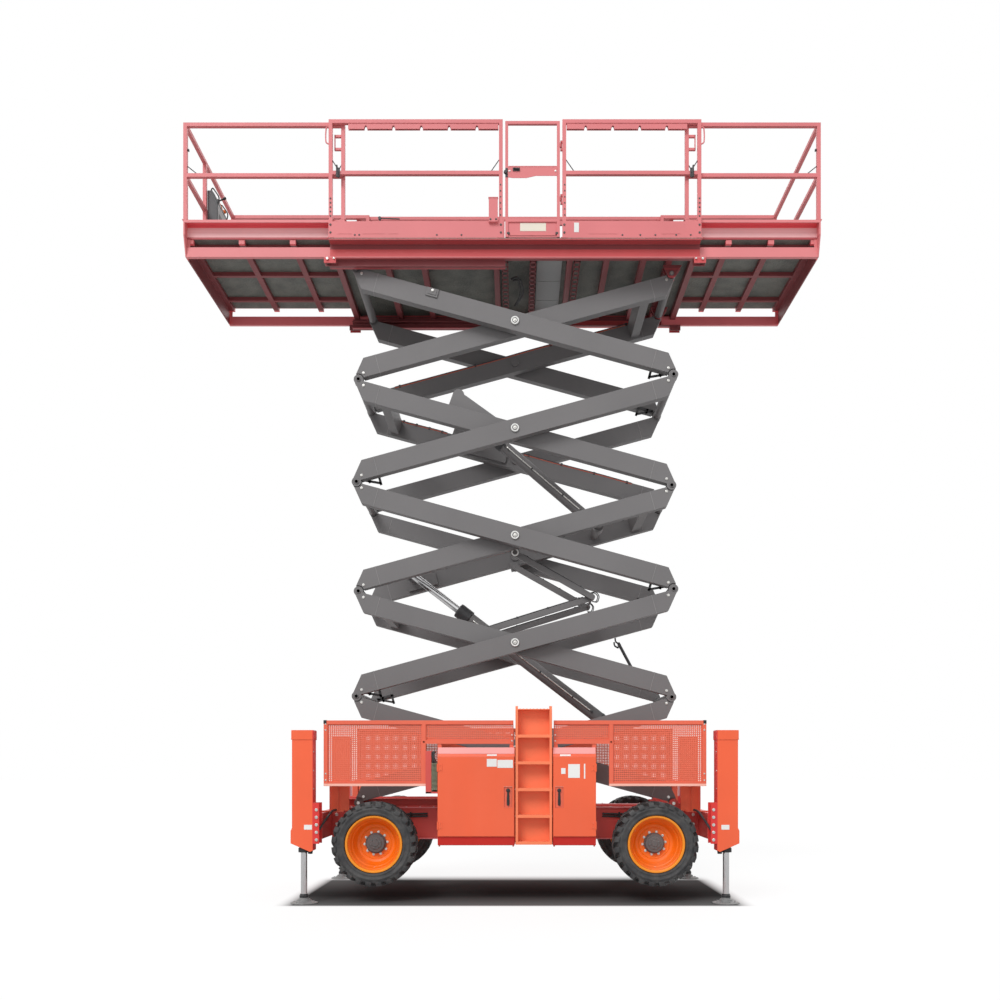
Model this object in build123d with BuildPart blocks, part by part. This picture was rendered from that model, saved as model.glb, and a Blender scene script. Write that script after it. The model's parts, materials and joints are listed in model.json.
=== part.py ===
from build123d import *
import os
from math import atan2, cos, degrees, hypot, radians, sin, sqrt

os.makedirs("parts", exist_ok=True)

# A rough-terrain scissor lift, five stages high, standing on four outrigger legs with its wheels
# off the ground. Millimetres, +Z up, +X to the rear end, -Y the ladder side. Z = 0 is the ground.

# ---------------------------------------------------------------- driving sizes
WHEELBASE = 2840
AXLE_Z = 590
TYRE_R, TYRE_W, WHEEL_Y = 425, 320, 980
RIM_R, RIM_HUB_R, RIM_BACK = 290, 105, 60
LEG_X, LEG_Y = 2120, 1100  # outrigger legs, from the middle of the machine

# scissor stack
STAGES = 5
ARM_H, ARM_W = 200, 100
STACK_GAP = 10  # between two arms when the stack is folded flat
RUN, RISE = 3330, 1126  # between the two end pins of one arm, as it stands
PIVOT_X, PIVOT_Z = 1665, 985  # fixed lower pin, from the middle of the machine
ARM_GAP = 30  # between an inner and an outer tube
OUTER_Y = 610  # middle of the outer arm tubes
LUG_R, LUG_RELIEF_R = 50, 60
PIN_R, PIN_GAP = 25, 0.4
TONGUE, PRONG = 40, 25  # plates that interleave at each end joint
CROSS_TUBE_R = 45
CENTRE_PIN_R = 30
SEAT_GAP = 0.3  # between a moving piece and what it rests on
TRACK_X = (-1930, -100)
ROLLER_R = 31.7
TRACK_T, TRACK_WEB = 8, 10
TRACK_W, TOP_TRACK_W = 75, 73  # inside widths of the lower and upper channels
TRACK_HALF = ROLLER_R + SEAT_GAP  # of the height inside a channel

# platform
DECK_TOP = 6785
DECK_X, DECK_Y = 1910, 915  # half length and half width of the fixed deck
EXT_Y = 871  # half width of the roll-out decks
EXT_TOP = 6850
FRONT_END, REAR_END = -3412, 3145  # ends of the rolled-out decks, from the middle
OVERLAP = 160  # of each roll-out deck with the fixed deck
RAIL_TOP, RAIL_MID = 8000, 7455
RAIL_D = 38
TOE_TOP = 6955
FRONT_POST_Y = -220  # post in the middle of the front guardrail
CONTROL_T, CONTROL_Y, CONTROL_Z = 110, (-200, 170), (7330, 7690)

# chassis and cabinets
FRAME_X, FRAME_RAIL_W = 1950, 150
FRAME_Z = (600, 930)
COVER_HALF_X, COVER_HALF_Y = 105, 75  # half widths of an outrigger's cover
POD_X = (-777, 813)
POD_Y = (700, 1140)
POD_Z = (582, 1561)
POD_WALL = 12
LADDER_X = (5, 371)
GUARD_X, GUARD_Y = 1930, 1050
GUARD_Z = (1174, 1837)

# worked out from the driving sizes
MID_X = -(FRONT_END + REAR_END) / 2  # middle of the wheelbase and of the scissor stack, along X
ARM_L = hypot(RUN, RISE)
PIN_OFFSET = (ARM_H + STACK_GAP) / 2  # of each end pin from its arm's centre line
PIN_U = sqrt((ARM_L / 2) ** 2 - PIN_OFFSET**2)
LINE_ANGLE = degrees(atan2(RISE, RUN))
TUBE_ANGLE = LINE_ANGLE - degrees(atan2(PIN_OFFSET, PIN_U))
ARM_SIDE = ARM_W / 2
INNER_Y = OUTER_Y - ARM_W - ARM_GAP  # middle of the inner arm tubes
TRACK_Y = (INNER_Y - ARM_SIDE - 5 - TRACK_W, INNER_Y - ARM_SIDE - 5)
TOP_TRACK_Y = (OUTER_Y + ARM_SIDE + 22, OUTER_Y + ARM_SIDE + 22 + TOP_TRACK_W)
FRAME_RAIL_Y = (TRACK_Y[0], TRACK_Y[0] + FRAME_RAIL_W)
SIDES = (-1, 1)
ENDS = (-1, 1)


# ---------------------------------------------------------------- helpers
def block(x, y, z, mode=Mode.ADD):
    """A box between pairs of faces, in the part that is being built."""
    with Locations(((x[0] + x[1]) / 2, (y[0] + y[1]) / 2, (z[0] + z[1]) / 2)):
        Box(abs(x[1] - x[0]), abs(y[1] - y[0]), abs(z[1] - z[0]), mode=mode)


def mirrored(y, side):
    """A pair of distances from the middle plane, on one side of it."""
    return (min(side * y[0], side * y[1]), max(side * y[0], side * y[1]))


def rod(radius, start, end, mode=Mode.ADD):
    """A round bar from one point to another, in the part that is being built."""
    start, end = Vector(start), Vector(end)
    with Locations(Plane(origin=start, z_dir=end - start).location):
        Cylinder(radius, (end - start).length, align=(Align.CENTER, Align.CENTER, Align.MIN), mode=mode)


def pin(radius, x, z, y, mode=Mode.ADD):
    """A round bar across the machine, between two distances from the middle plane."""
    rod(radius, (x, y[0], z), (x, y[1], z), mode)


def write(part, label):
    """Names a finished piece and writes its STEP file."""
    part.label = label
    export_step(part, f"parts/{label}.step")


# ---------------------------------------------------------------- scissor stack
def lean(kind, stage):
    """+1 for an arm that rises to the rear, -1 for one that rises to the front."""
    return 1 if (kind == "inner") == (stage % 2 == 1) else -1


def arm_plane(kind, stage):
    """The frame of an arm: +X along its tube to the rear, origin at its centre pin."""
    a = radians(lean(kind, stage) * TUBE_ANGLE)
    centre = (MID_X, 0, PIVOT_Z + (stage - 0.5) * RISE)
    return Plane(origin=centre, x_dir=(cos(a), 0, sin(a)), z_dir=(-sin(a), 0, cos(a)))


def arm_outline(way, reach):
    """Side view of a tube with both ends cut back on the side away from the pins."""
    tip, cut = PIN_U + 38, PIN_U - 110
    half = ARM_H / 2
    points = [
        (-way * cut, half),
        (-way * tip, -half * 0.8),
        (-way * tip, -half),
        (way * cut, -half),
        (way * tip, half * 0.8),
        (way * tip, half),
    ]
    with BuildSketch(Plane.XZ) as outline:
        with BuildLine():
            Polyline(*points, close=True)
        make_face()
        with Locations((-way * PIN_U, -PIN_OFFSET), (way * PIN_U, PIN_OFFSET)):
            Circle(reach, mode=Mode.ADD if reach == LUG_R else Mode.SUBTRACT)
    return outline.sketch


def roller(at, track, arm_y, side):
    """A slider roller and its pin, between the web and the lips of a channel."""
    y0, y1 = track
    pin(PIN_R, *at, mirrored((min(y0, arm_y), max(y1, arm_y)), side))
    pin(ROLLER_R, *at, mirrored(track, side))


def arm_pair(kind, stage):
    """The near and far tubes of one arm, with their lugs, holes and upper cross shaft."""
    way = lean(kind, stage)
    y_mid = OUTER_Y if kind == "outer" else INNER_Y
    tongue = stage % 2 == 1
    full, plate = arm_outline(way, LUG_RELIEF_R), arm_outline(way, LUG_R)
    layers = [(0, TONGUE)] if tongue else [(-(ARM_W - PRONG) / 2, PRONG), ((ARM_W - PRONG) / 2, PRONG)]
    low, top = (-way * PIN_U, -PIN_OFFSET), (way * PIN_U, PIN_OFFSET)
    inside, outside = y_mid - ARM_SIDE - 5, y_mid + ARM_SIDE + 10
    with BuildPart() as arm:
        for side in SIDES:
            extrude(full.moved(Location((0, side * y_mid, 0))), ARM_SIDE, both=True)
            for shift, thickness in layers:
                extrude(plate.moved(Location((0, side * y_mid + shift, 0))), thickness / 2, both=True)
            if stage > 1 or kind == "outer":  # the first inner arm carries its own slider pin
                pin(PIN_R + PIN_GAP, *low, mirrored((inside, outside), side), Mode.SUBTRACT)
            pin(PIN_R, *top, mirrored((inside - 1, outside - 2), side))
            if kind == "outer" and stage == STAGES:
                roller(top, (TOP_TRACK_Y[0] + 3, TOP_TRACK_Y[1] - TRACK_T - 5), OUTER_Y, side)
            if kind == "inner" and stage == 1:
                roller(low, (TRACK_Y[0] + 5, TRACK_Y[1] - 10), INNER_Y, side)
        pin(CROSS_TUBE_R, *top, (-inside, inside))
        for side in SIDES:
            if kind == "outer":
                # centre pin, its boss and spacer on this tube, and its collar inside the inner tube
                pin(CENTRE_PIN_R, 0, 0, mirrored((INNER_Y - ARM_SIDE - 20, outside + 2), side))
                pin(CENTRE_PIN_R + 14, 0, 0, mirrored((INNER_Y + ARM_SIDE + 2, OUTER_Y), side))
                collar = (INNER_Y - ARM_SIDE - 22, INNER_Y - ARM_SIDE - 4)
                pin(CENTRE_PIN_R + 14, 0, 0, mirrored(collar, side))
                pin(CENTRE_PIN_R + 12, 0, 0, mirrored((OUTER_Y, outside - 2), side))
            else:
                hole = mirrored((INNER_Y - ARM_SIDE - 10, outside), side)
                pin(CENTRE_PIN_R + PIN_GAP, 0, 0, hole, Mode.SUBTRACT)
    return arm


# cylinder anchors: stage of the lower arm, its place on that arm, stage of the upper arm, the eye's
# place on that one (both along the arm and off its centre line), barrel radius, rod radius,
# barrel length, rod length
CYLINDERS = {
    "lower": (1, (1080, 0), 3, (-1200, 50), 70, 42, 2080, 2150),
    "upper": (3, (950, 0), 4, (-700, 260), 62, 36, 1510, 1512),
}
TRUNNION_R, CYL_PIN_R, EYE_Y = 50, 30, 88
EAR_Y = 95  # inner face of the stubs that hold a cylinder pin
GUSSET_Y = (INNER_Y - ARM_SIDE - 30, INNER_Y - ARM_SIDE - 5)


def anchor(stage, place):
    """Where a point of an inner arm lies in the machine."""
    p = arm_plane("inner", stage).from_local_coords((place[0], 0, place[1]))
    return Vector(p.X, 0, p.Z)


def add_cylinder_mounts(stage):
    """Trunnions for barrels and ears for rod eyes, on the inner arm that is being built."""
    for low, base, high, eye, *_ in CYLINDERS.values():
        for side in SIDES:
            if low == stage:
                pin(TRUNNION_R, *base, mirrored((EAR_Y, INNER_Y), side))
            if high == stage:
                pin(TRUNNION_R - 8, *eye, mirrored((EAR_Y, GUSSET_Y[1]), side))
                pin(TRUNNION_R + 20, *eye, mirrored((EAR_Y, EAR_Y + 16), side))
                add_gusset(eye, side)
        if low == stage:
            pin(CYL_PIN_R, *base, (-EAR_Y - 1, EAR_Y + 1))


def add_gusset(eye, side):
    """The plate that carries a rod eye's stub above the arm's tube."""
    near = 1 if eye[0] < 0 else -1
    foot = 600 if eye[1] > 200 else 260
    y0, y1 = mirrored(GUSSET_Y, side)
    with BuildSketch(Plane.XZ.offset(-y0)) as plate:
        with BuildLine():
            Polyline(
                (eye[0] - near * 62, eye[1]),
                (eye[0] - near * 90, -70),
                (eye[0] + near * foot, -70),
                (eye[0] + near * foot, 80),
                (eye[0] + near * 62, eye[1] + 20),
                close=True,
            )
        make_face()
        with Locations(eye):
            Circle(62)
    extrude(plate.sketch, -(y1 - y0))
    block(
        (eye[0] - 60, eye[0] + 200),
        mirrored((GUSSET_Y[1], INNER_Y - ARM_SIDE), side),
        (-60, 60),
    )


# hose guide: pivots on the third inner arm, knee, and free end at the second inner arm
LINK_Y = (GUSSET_Y[1] - 85, GUSSET_Y[1] - 40)
LINK_PIVOT = (-34, -125)  # in the frame of the third inner arm
LINK_BAR = 60
UPPER_LINK = (957, -29.4)  # length and angle
LOWER_LINK = (1345, 197.3)
LINK_PIN_R = 14

for stage in range(1, STAGES + 1):
    outer = arm_pair("outer", stage)
    inner = arm_pair("inner", stage)
    write(outer.part.moved(arm_plane("outer", stage).location), f"outer_arm_{stage}")
    with BuildPart() as inner_full:
        add(inner.part)
        # square tube between the near and far arms, short of the upper joint
        way = lean("inner", stage)
        u = way * (PIN_U - 330)
        block((u - 50, u + 50), (-INNER_Y, INNER_Y), (-75, 75))
        add_cylinder_mounts(stage)
        if stage == 3:
            for side in SIDES:
                bracket_u = (LINK_PIVOT[0] - 50, LINK_PIVOT[0] + 50)
                bracket_y = mirrored((LINK_Y[1] + 5, GUSSET_Y[1]), side)
                block(bracket_u, bracket_y, (LINK_PIVOT[1] - 35, -60))
                foot_y = mirrored((GUSSET_Y[1] - 1, INNER_Y - ARM_SIDE + 1), side)
                block(bracket_u, foot_y, (5 - ARM_H / 2, -60))
                pin(LINK_PIN_R, *LINK_PIVOT, mirrored((LINK_Y[0] - 2, LINK_Y[1] + 10), side))
    write(inner_full.part.moved(arm_plane("inner", stage).location), f"inner_arm_{stage}")

# ---------------------------------------------------------------- lift cylinders
for name, (low, base, high, eye, barrel_r, rod_r, barrel_length, rod_length) in CYLINDERS.items():
    start, end = anchor(low, base), anchor(high, eye)
    along = (end - start).normalized()
    length = (end - start).length
    with BuildPart() as barrel:
        pin(barrel_r + 12, start.X, start.Z, (-EYE_Y, EYE_Y))
        rod(barrel_r, start, start + along * barrel_length)
        rod(barrel_r + 10, start + along * (barrel_length - 130), start + along * (barrel_length + 30))
        rod(rod_r + PIN_GAP, start + along * 108, start + along * (barrel_length + 40), Mode.SUBTRACT)
        pin(CYL_PIN_R + PIN_GAP, start.X, start.Z, (-EYE_Y - 5, EYE_Y + 5), Mode.SUBTRACT)
    write(barrel.part, f"{name}_cylinder_barrel")
    with BuildPart() as piston_rod:
        rod(rod_r, end - along * rod_length, end)
        pin(rod_r + 12, end.X, end.Z, (-EYE_Y + 10, EYE_Y - 10))
        pin(CYL_PIN_R, end.X, end.Z, (-EYE_Y + 2, EYE_Y - 2))
    write(piston_rod.part, f"{name}_cylinder_rod")


def polar(length, angle):
    """A step of a length at an angle above +X, in the plane of the arms."""
    return Vector(length * cos(radians(angle)), 0, length * sin(radians(angle)))


def link(start, length, angle, y, holes):
    """A pair of flat bars between two pivots, tied at the far end."""
    end = start + polar(length, angle)
    a = radians(angle)
    plane = Plane(origin=start, x_dir=(cos(a), 0, sin(a)), z_dir=(-sin(a), 0, cos(a)))
    with BuildPart() as bars:
        for side in SIDES:
            block((0, length), mirrored(y, side), (-LINK_BAR / 2, LINK_BAR / 2))
            for u in (0, length):
                pin(LINK_BAR / 2, u, 0, mirrored(y, side))
            for u in holes:
                pin(LINK_PIN_R + PIN_GAP, u, 0, mirrored((y[0] - 5, y[1] + 5), side), Mode.SUBTRACT)
    return bars, plane, end


knee_start = anchor(3, LINK_PIVOT)
upper_link, upper_plane, knee = link(knee_start, *UPPER_LINK, LINK_Y, (0,))
with BuildPart() as upper_link_full:
    add(upper_link.part)
    pin(LINK_PIN_R, UPPER_LINK[0], 0, (-LINK_Y[0] - 1, LINK_Y[0] + 1))
write(upper_link_full.part.moved(upper_plane.location), "hose_link_upper")
LOWER_LINK_Y = (LINK_Y[0] - 45, LINK_Y[0] - 5)
lower_link, lower_plane, _ = link(knee, *LOWER_LINK, LOWER_LINK_Y, (0,))
with BuildPart() as lower_link_full:
    add(lower_link.part)
    pin(LINK_PIN_R, LOWER_LINK[0], 0, (-LOWER_LINK_Y[0] - 1, LOWER_LINK_Y[0] + 1))
write(lower_link_full.part.moved(lower_plane.location), "hose_link_lower")

# ---------------------------------------------------------------- chassis
FORK_GAP = TONGUE + 10
FORK_REACH = (90, 110)  # of the fork plates' feet, on both sides of the pin
CROSS_BEAMS_X, CROSS_BEAM_W = (-1930, -1030, -60, 900, 1830), 100
BEAM_T, BEAM_Z = 100, (640, 900)  # outrigger beams across the ends of the frame
TIE_DOWN_R, TIE_DOWN_W, TIE_DOWN_T = 20, 90, 20
TIE_DOWN_X, TIE_DOWN_Y, TIE_DOWN_Z = FRAME_X + BEAM_T + 40, 310, 750
POD_BRACKETS_X, POD_BRACKET_W, POD_BRACKET_Z = (-600, 560), 90, (660, 800)
with BuildPart() as chassis_frame:
    for side in SIDES:
        block((MID_X - FRAME_X, MID_X + FRAME_X), mirrored(FRAME_RAIL_Y, side), FRAME_Z)
    for x in CROSS_BEAMS_X:
        across = (-FRAME_RAIL_Y[0] - 1, FRAME_RAIL_Y[0] + 1)
        block((MID_X + x, MID_X + x + CROSS_BEAM_W), across, BEAM_Z)
    # forks for the fixed lower pins
    fork_x = (MID_X + PIVOT_X - FORK_REACH[0], MID_X + PIVOT_X + FORK_REACH[1])
    for side in SIDES:
        for inner_face in (OUTER_Y - ARM_SIDE, OUTER_Y + FORK_GAP / 2):
            y = mirrored((inner_face, inner_face + PRONG), side)
            block(fork_x, y, (FRAME_Z[1] - 60, PIVOT_Z))
            pin(LUG_R, MID_X + PIVOT_X, PIVOT_Z, y)
        y = mirrored((OUTER_Y - ARM_SIDE - 10, OUTER_Y + ARM_SIDE + 8), side)
        pin(PIN_R, MID_X + PIVOT_X, PIVOT_Z, y)
        y = mirrored((FRAME_RAIL_Y[1] - 1, OUTER_Y + ARM_SIDE), side)
        block(fork_x, y, (FRAME_Z[1] - 110, FRAME_Z[1] - 55))
    # outrigger beams
    for end in ENDS:
        x = sorted((MID_X + end * (FRAME_X - 1), MID_X + end * (FRAME_X + BEAM_T)))
        block(x, (-LEG_Y + COVER_HALF_Y, LEG_Y - COVER_HALF_Y), BEAM_Z)
        # tie-down lugs, flat, with upright holes
        for side in SIDES:
            lug = (FRAME_X + BEAM_T - 1, TIE_DOWN_X + TIE_DOWN_W / 2)
            x = sorted(MID_X + end * reach for reach in lug)
            y = mirrored((TIE_DOWN_Y - TIE_DOWN_W / 2, TIE_DOWN_Y + TIE_DOWN_W / 2), side)
            block(x, y, (TIE_DOWN_Z - TIE_DOWN_T / 2, TIE_DOWN_Z + TIE_DOWN_T / 2))
            x, y = MID_X + end * TIE_DOWN_X, side * TIE_DOWN_Y
            hole = (x, y, TIE_DOWN_Z - TIE_DOWN_T), (x, y, TIE_DOWN_Z + TIE_DOWN_T)
            rod(TIE_DOWN_R, *hole, Mode.SUBTRACT)
    # brackets that carry the cabinets
    for side in SIDES:
        for x in POD_BRACKETS_X:
            y = mirrored((FRAME_RAIL_Y[1] - 1, POD_Y[0]), side)
            block((MID_X + x, MID_X + x + POD_BRACKET_W), y, POD_BRACKET_Z)
write(chassis_frame.part, "chassis_frame")

# channels on the frame's rails, open outwards, that the lower rollers run in
with BuildPart() as roller_tracks:
    x = (MID_X + TRACK_X[0], MID_X + TRACK_X[1])
    lip_top = PIVOT_Z + TRACK_HALF + TRACK_T
    for side in SIDES:
        web = TRACK_Y[0] - TRACK_WEB
        block(x, mirrored((web, TRACK_Y[1]), side), (FRAME_Z[1], PIVOT_Z - TRACK_HALF))
        block(x, mirrored((web, TRACK_Y[0]), side), (FRAME_Z[1], lip_top))
        block(x, mirrored((web, TRACK_Y[1] - 10), side), (PIVOT_Z + TRACK_HALF, lip_top))
write(roller_tracks.part, "roller_tracks")

KNUCKLE_Y, KING_PIN_R = 830, 18
YOKE_Z = (75, 110)  # of the yoke plates, above and below the axle's middle
AXLE_HALF = 70
HUB_SHAFT_R, HUB_FACE_Y = 60, WHEEL_Y - RIM_BACK - SEAT_GAP
STEER_ARM, STEER_ARM_W = 170, 34
for name, end in (("front", -1), ("rear", 1)):
    x = MID_X + end * WHEELBASE / 2
    with BuildPart() as axle:
        across = (-KNUCKLE_Y + 95, KNUCKLE_Y - 95)
        block((x - AXLE_HALF, x + AXLE_HALF), across, (AXLE_Z - YOKE_Z[0], FRAME_Z[0]))
        rod(95, (x, -210, AXLE_Z - 20), (x, 210, AXLE_Z - 20))
        if name == "rear":
            for side in SIDES:
                rod(HUB_SHAFT_R, (x, side * 505, AXLE_Z), (x, side * HUB_FACE_Y, AXLE_Z))
        else:
            for side in SIDES:
                y = mirrored((KNUCKLE_Y - 96, KNUCKLE_Y + 40), side)
                for up in (-1, 1):
                    block((x - 45, x + 45), y, sorted(AXLE_Z + up * z for z in YOKE_Z))
                    king_pin = [(x, side * KNUCKLE_Y, AXLE_Z + up * z) for z in (63, YOKE_Z[1] + 2)]
                    rod(KING_PIN_R, *king_pin)
                y = mirrored((KNUCKLE_Y - 130, KNUCKLE_Y - 95), side)
                block((x - 60, x + 60), y, (AXLE_Z - YOKE_Z[1], AXLE_Z + YOKE_Z[1]))
    write(axle.part, f"{name}_axle")

for name, side in (("near", -1), ("far", 1)):
    x = MID_X - WHEELBASE / 2
    with BuildPart() as knuckle:
        rod(45, (x, side * KNUCKLE_Y, AXLE_Z - 68), (x, side * KNUCKLE_Y, AXLE_Z + 68))
        rod(HUB_SHAFT_R, (x, side * KNUCKLE_Y, AXLE_Z), (x, side * HUB_FACE_Y, AXLE_Z))
        # steering arm and its ball socket
        arm_y = KNUCKLE_Y - STEER_ARM_W / 2 - 10
        arm_sides = (arm_y - STEER_ARM_W / 2, arm_y + STEER_ARM_W / 2)
        block((x, x + STEER_ARM), mirrored(arm_sides, side), (AXLE_Z - 40, AXLE_Z - 20))
        socket = (x + STEER_ARM, side * arm_y)
        rod(20, (*socket, AXLE_Z - 44), (*socket, AXLE_Z - 8))
        for up in (-1, 1):
            hole = [(x, side * KNUCKLE_Y, AXLE_Z + up * z) for z in (60, 69)]
            rod(KING_PIN_R + PIN_GAP, *hole, Mode.SUBTRACT)
    write(knuckle.part, f"steering_knuckle_{name}")

SHOULDER_R, CROWN = 32, 3
RIM_T = 8
# the dish of a rim, from its middle out to its lip: radius and distance from the wheel's middle
DISH = ((0, -52), (152, -52), (222, -20), (248, 20), (254, 62), (266, 122))
# flange, drum and cap of the hub: radius, and where each starts and ends
HUB_STEPS = ((RIM_HUB_R, -56, -34), (92, -36, 0), (66, -2, 9), (34, 7, 17))
for end_name, end in (("front", -1), ("rear", 1)):
    for side_name, side in (("near", -1), ("far", 1)):
        x = MID_X + end * WHEELBASE / 2
        plane = Plane(origin=(x, side * WHEEL_Y, AXLE_Z), x_dir=(1, 0, 0), z_dir=(0, side, 0))
        with BuildPart() as tyre:
            with BuildSketch(Plane.XZ):
                with BuildLine():
                    half = TYRE_W / 2
                    Polyline(
                        (TYRE_R - SHOULDER_R, -half),
                        (RIM_R + 12, -half + 12),
                        (RIM_R, -half + 25),
                        (RIM_R, half - 25),
                        (RIM_R + 12, half - 12),
                        (TYRE_R - SHOULDER_R, half),
                    )
                    RadiusArc((TYRE_R - SHOULDER_R, half), (TYRE_R, half - SHOULDER_R), SHOULDER_R)
                    crown_end = half - SHOULDER_R
                    ThreePointArc((TYRE_R, crown_end), (TYRE_R + CROWN, 0), (TYRE_R, -crown_end))
                    RadiusArc((TYRE_R, SHOULDER_R - half), (TYRE_R - SHOULDER_R, -half), SHOULDER_R)
                make_face()
            revolve(axis=Axis.Z)
        write(tyre.part.moved(plane.location), f"tyre_{end_name}_{side_name}")
        with BuildPart() as rim:
            with BuildSketch(Plane.XZ):
                with BuildLine():
                    lip = TYRE_W / 2 - 22
                    FilletPolyline(*DISH, (RIM_R - 4, lip), radius=9)
                    Polyline(
                        (RIM_R - 4, lip),
                        (RIM_R - SEAT_GAP, lip - 4),
                        (RIM_R - SEAT_GAP, -lip),
                        (RIM_R - 22, -lip),
                        (RIM_R - 22 - RIM_T, -30),
                        (DISH[2][0] + 3, -30 - RIM_T),
                        (DISH[1][0] - 2, -RIM_BACK),
                        (0, -RIM_BACK),
                        (0, DISH[0][1]),
                    )
                make_face()
            revolve(axis=Axis.Z)
            for radius, base, top in HUB_STEPS:
                with Locations((0, 0, base)):
                    Cylinder(radius, top - base, align=(Align.CENTER, Align.CENTER, Align.MIN))
        write(rim.part.moved(plane.location), f"rim_{end_name}_{side_name}")

# ---------------------------------------------------------------- outriggers
COVER_TOP, COVER_BOTTOM = 1730, (520, 605)  # lowest at the inner edge, higher at the outer one
COVER_CAP, COVER_LIP = 90, 6
COVER_STEP_Z, COVER_STEP = 760, 14  # the lower part is deeper on the outer side
FLANGE_T, FLANGE_Z = 10, (600, 1010)
COVER_FOOT = 62  # reach of the flanges towards the beam
LEG_R, LEG_TOP, LEG_BORE_TOP = 31.5, 1060, 1500
# steps of a leg's foot, from the ground up: radius, bottom and top
FOOT_R = 135
FOOT_STEPS = ((FOOT_R, 0, 26), (70, 20, 45), (LEG_R + 14, 30, 95))
with BuildPart() as housings:
    for end in ENDS:
        for side in SIDES:
            x, y = MID_X + end * LEG_X, side * LEG_Y
            inner_x, outer_x = x - end * COVER_HALF_X, x + end * COVER_HALF_X
            with BuildSketch(Plane.XZ.offset(-y)) as face:
                with BuildLine():
                    Polyline(
                        (inner_x, COVER_TOP),
                        (inner_x, COVER_BOTTOM[0] + 14),
                        (inner_x + end * 30, COVER_BOTTOM[0]),
                        (outer_x + end * COVER_STEP, COVER_BOTTOM[1]),
                        (outer_x + end * COVER_STEP, COVER_STEP_Z - 30),
                        (outer_x, COVER_STEP_Z),
                        (outer_x, COVER_TOP),
                        close=True,
                    )
                make_face()
            extrude(face.sketch, COVER_HALF_Y, both=True)
            cap_x, cap_y = COVER_HALF_X + COVER_LIP, COVER_HALF_Y + COVER_LIP
            cap_z = (COVER_TOP - COVER_CAP, COVER_TOP + 2)
            block((x - cap_x, x + cap_x), (y - cap_y, y + cap_y), cap_z)
            rod(LEG_R + PIN_GAP, (x, y, COVER_BOTTOM[0] - 20), (x, y, LEG_BORE_TOP), Mode.SUBTRACT)
            # flanges that bolt the housing to the beam's end
            flange_x = sorted((inner_x + end, inner_x - end * (COVER_FOOT - 1)))
            for shift in (-1, 1):
                flange_y = y + shift * (COVER_HALF_Y - FLANGE_T / 2)
                block(flange_x, (flange_y - FLANGE_T / 2, flange_y + FLANGE_T / 2), FLANGE_Z)
            plate_y = mirrored((LEG_Y - COVER_HALF_Y, LEG_Y + COVER_HALF_Y), side)
            block(sorted((inner_x + end, inner_x - end * FLANGE_T)), plate_y, FLANGE_Z)
write(housings.part, "outrigger_housings")
for end_name, end in (("front", -1), ("rear", 1)):
    for side_name, side in (("near", -1), ("far", 1)):
        x, y = MID_X + end * LEG_X, side * LEG_Y
        with BuildPart() as leg:
            rod(LEG_R, (x, y, 30), (x, y, LEG_TOP))
            for radius, bottom, top in FOOT_STEPS:
                rod(radius, (x, y, bottom), (x, y, top))
        write(leg.part, f"outrigger_leg_{end_name}_{side_name}")

# ---------------------------------------------------------------- cabinets, ladder, guards
def x_of(place):
    """A pair of places along the machine, from its middle, as places along X."""
    return tuple(MID_X + p for p in place)


DOOR_T = 20
LATCH_W, LATCH_DEPTH, LATCH_Z = 78, 8, (962, 1168)
SHOULDER_Z, POD_SILL = 1467, 100
ENGINE_TOP = 1250
COOLER_X, COOLER_Z = -900, (1100, 1530)
FRONT_DOOR, REAR_DOOR = (-777, -8), (384, 813)
DOOR_HINGES_Z, HINGE_R = (780, 1360), 8
with BuildPart() as pods:
    for side in SIDES:
        with BuildSketch(Plane.YZ.offset(MID_X + POD_X[0])) as section:
            with BuildLine():
                Polyline(
                    (side * POD_Y[0], POD_Z[0]),
                    (side * (POD_Y[1] - 40), POD_Z[0]),
                    (side * (POD_Y[1] - DOOR_T), POD_Z[0] + 85),
                    (side * (POD_Y[1] - DOOR_T), SHOULDER_Z),
                    (side * (POD_Y[1] - 60), POD_Z[1]),
                    (side * POD_Y[0], POD_Z[1]),
                    close=True,
                )
            make_face()
        extrude(section.sketch, POD_X[1] - POD_X[0])
        # compartments, open to the doors
        for x in (FRONT_DOOR, REAR_DOOR):
            inside = (x[0] + POD_WALL, x[1] - POD_WALL)
            y = mirrored((POD_Y[0] + POD_WALL, POD_Y[1] + 5), side)
            block(x_of(inside), y, (POD_Z[0] + POD_SILL, SHOULDER_Z - 15), Mode.SUBTRACT)
    x = (LADDER_X[0] - 8, LADDER_X[1] + 8)
    block(x_of(x), (-POD_Y[1], -POD_Y[1] + 200), (POD_Z[0] - 5, POD_Z[1] + 5), Mode.SUBTRACT)
write(pods.part, "side_pods")

for side_name, side in (("near", -1), ("far", 1)):
    for end_name, place in (("front", FRONT_DOOR), ("rear", REAR_DOOR)):
        with BuildPart() as door:
            y = mirrored((POD_Y[1] - DOOR_T + SEAT_GAP, POD_Y[1]), side)
            block(x_of((place[0] + 2, place[1] - 2)), y, (POD_Z[0] + 90, SHOULDER_Z))
            latch_x = place[1] - 100 if end_name == "front" else place[0] + 20
            pocket = mirrored((POD_Y[1] - LATCH_DEPTH, POD_Y[1] + 1), side)
            block(x_of((latch_x, latch_x + LATCH_W)), pocket, LATCH_Z, Mode.SUBTRACT)
            # hinge barrels on the edge away from the latch
            hinge = (MID_X + (place[0] + 2 if end_name == "front" else place[1] - 2), side * POD_Y[1])
            for z in DOOR_HINGES_Z:
                rod(HINGE_R, (*hinge, z - 40), (*hinge, z + 40))
        write(door.part, f"{end_name}_door_{side_name}")

with BuildPart() as engine:
    block(x_of((-720, -120)), (-1080, -760), (POD_Z[0] + POD_SILL, ENGINE_TOP))
write(engine.part, "engine_block")

with BuildPart() as cooler:
    block(x_of((COOLER_X, POD_X[0] - 0.5)), (-1090, -760), COOLER_Z)
write(cooler.part, "cooler")

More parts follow.
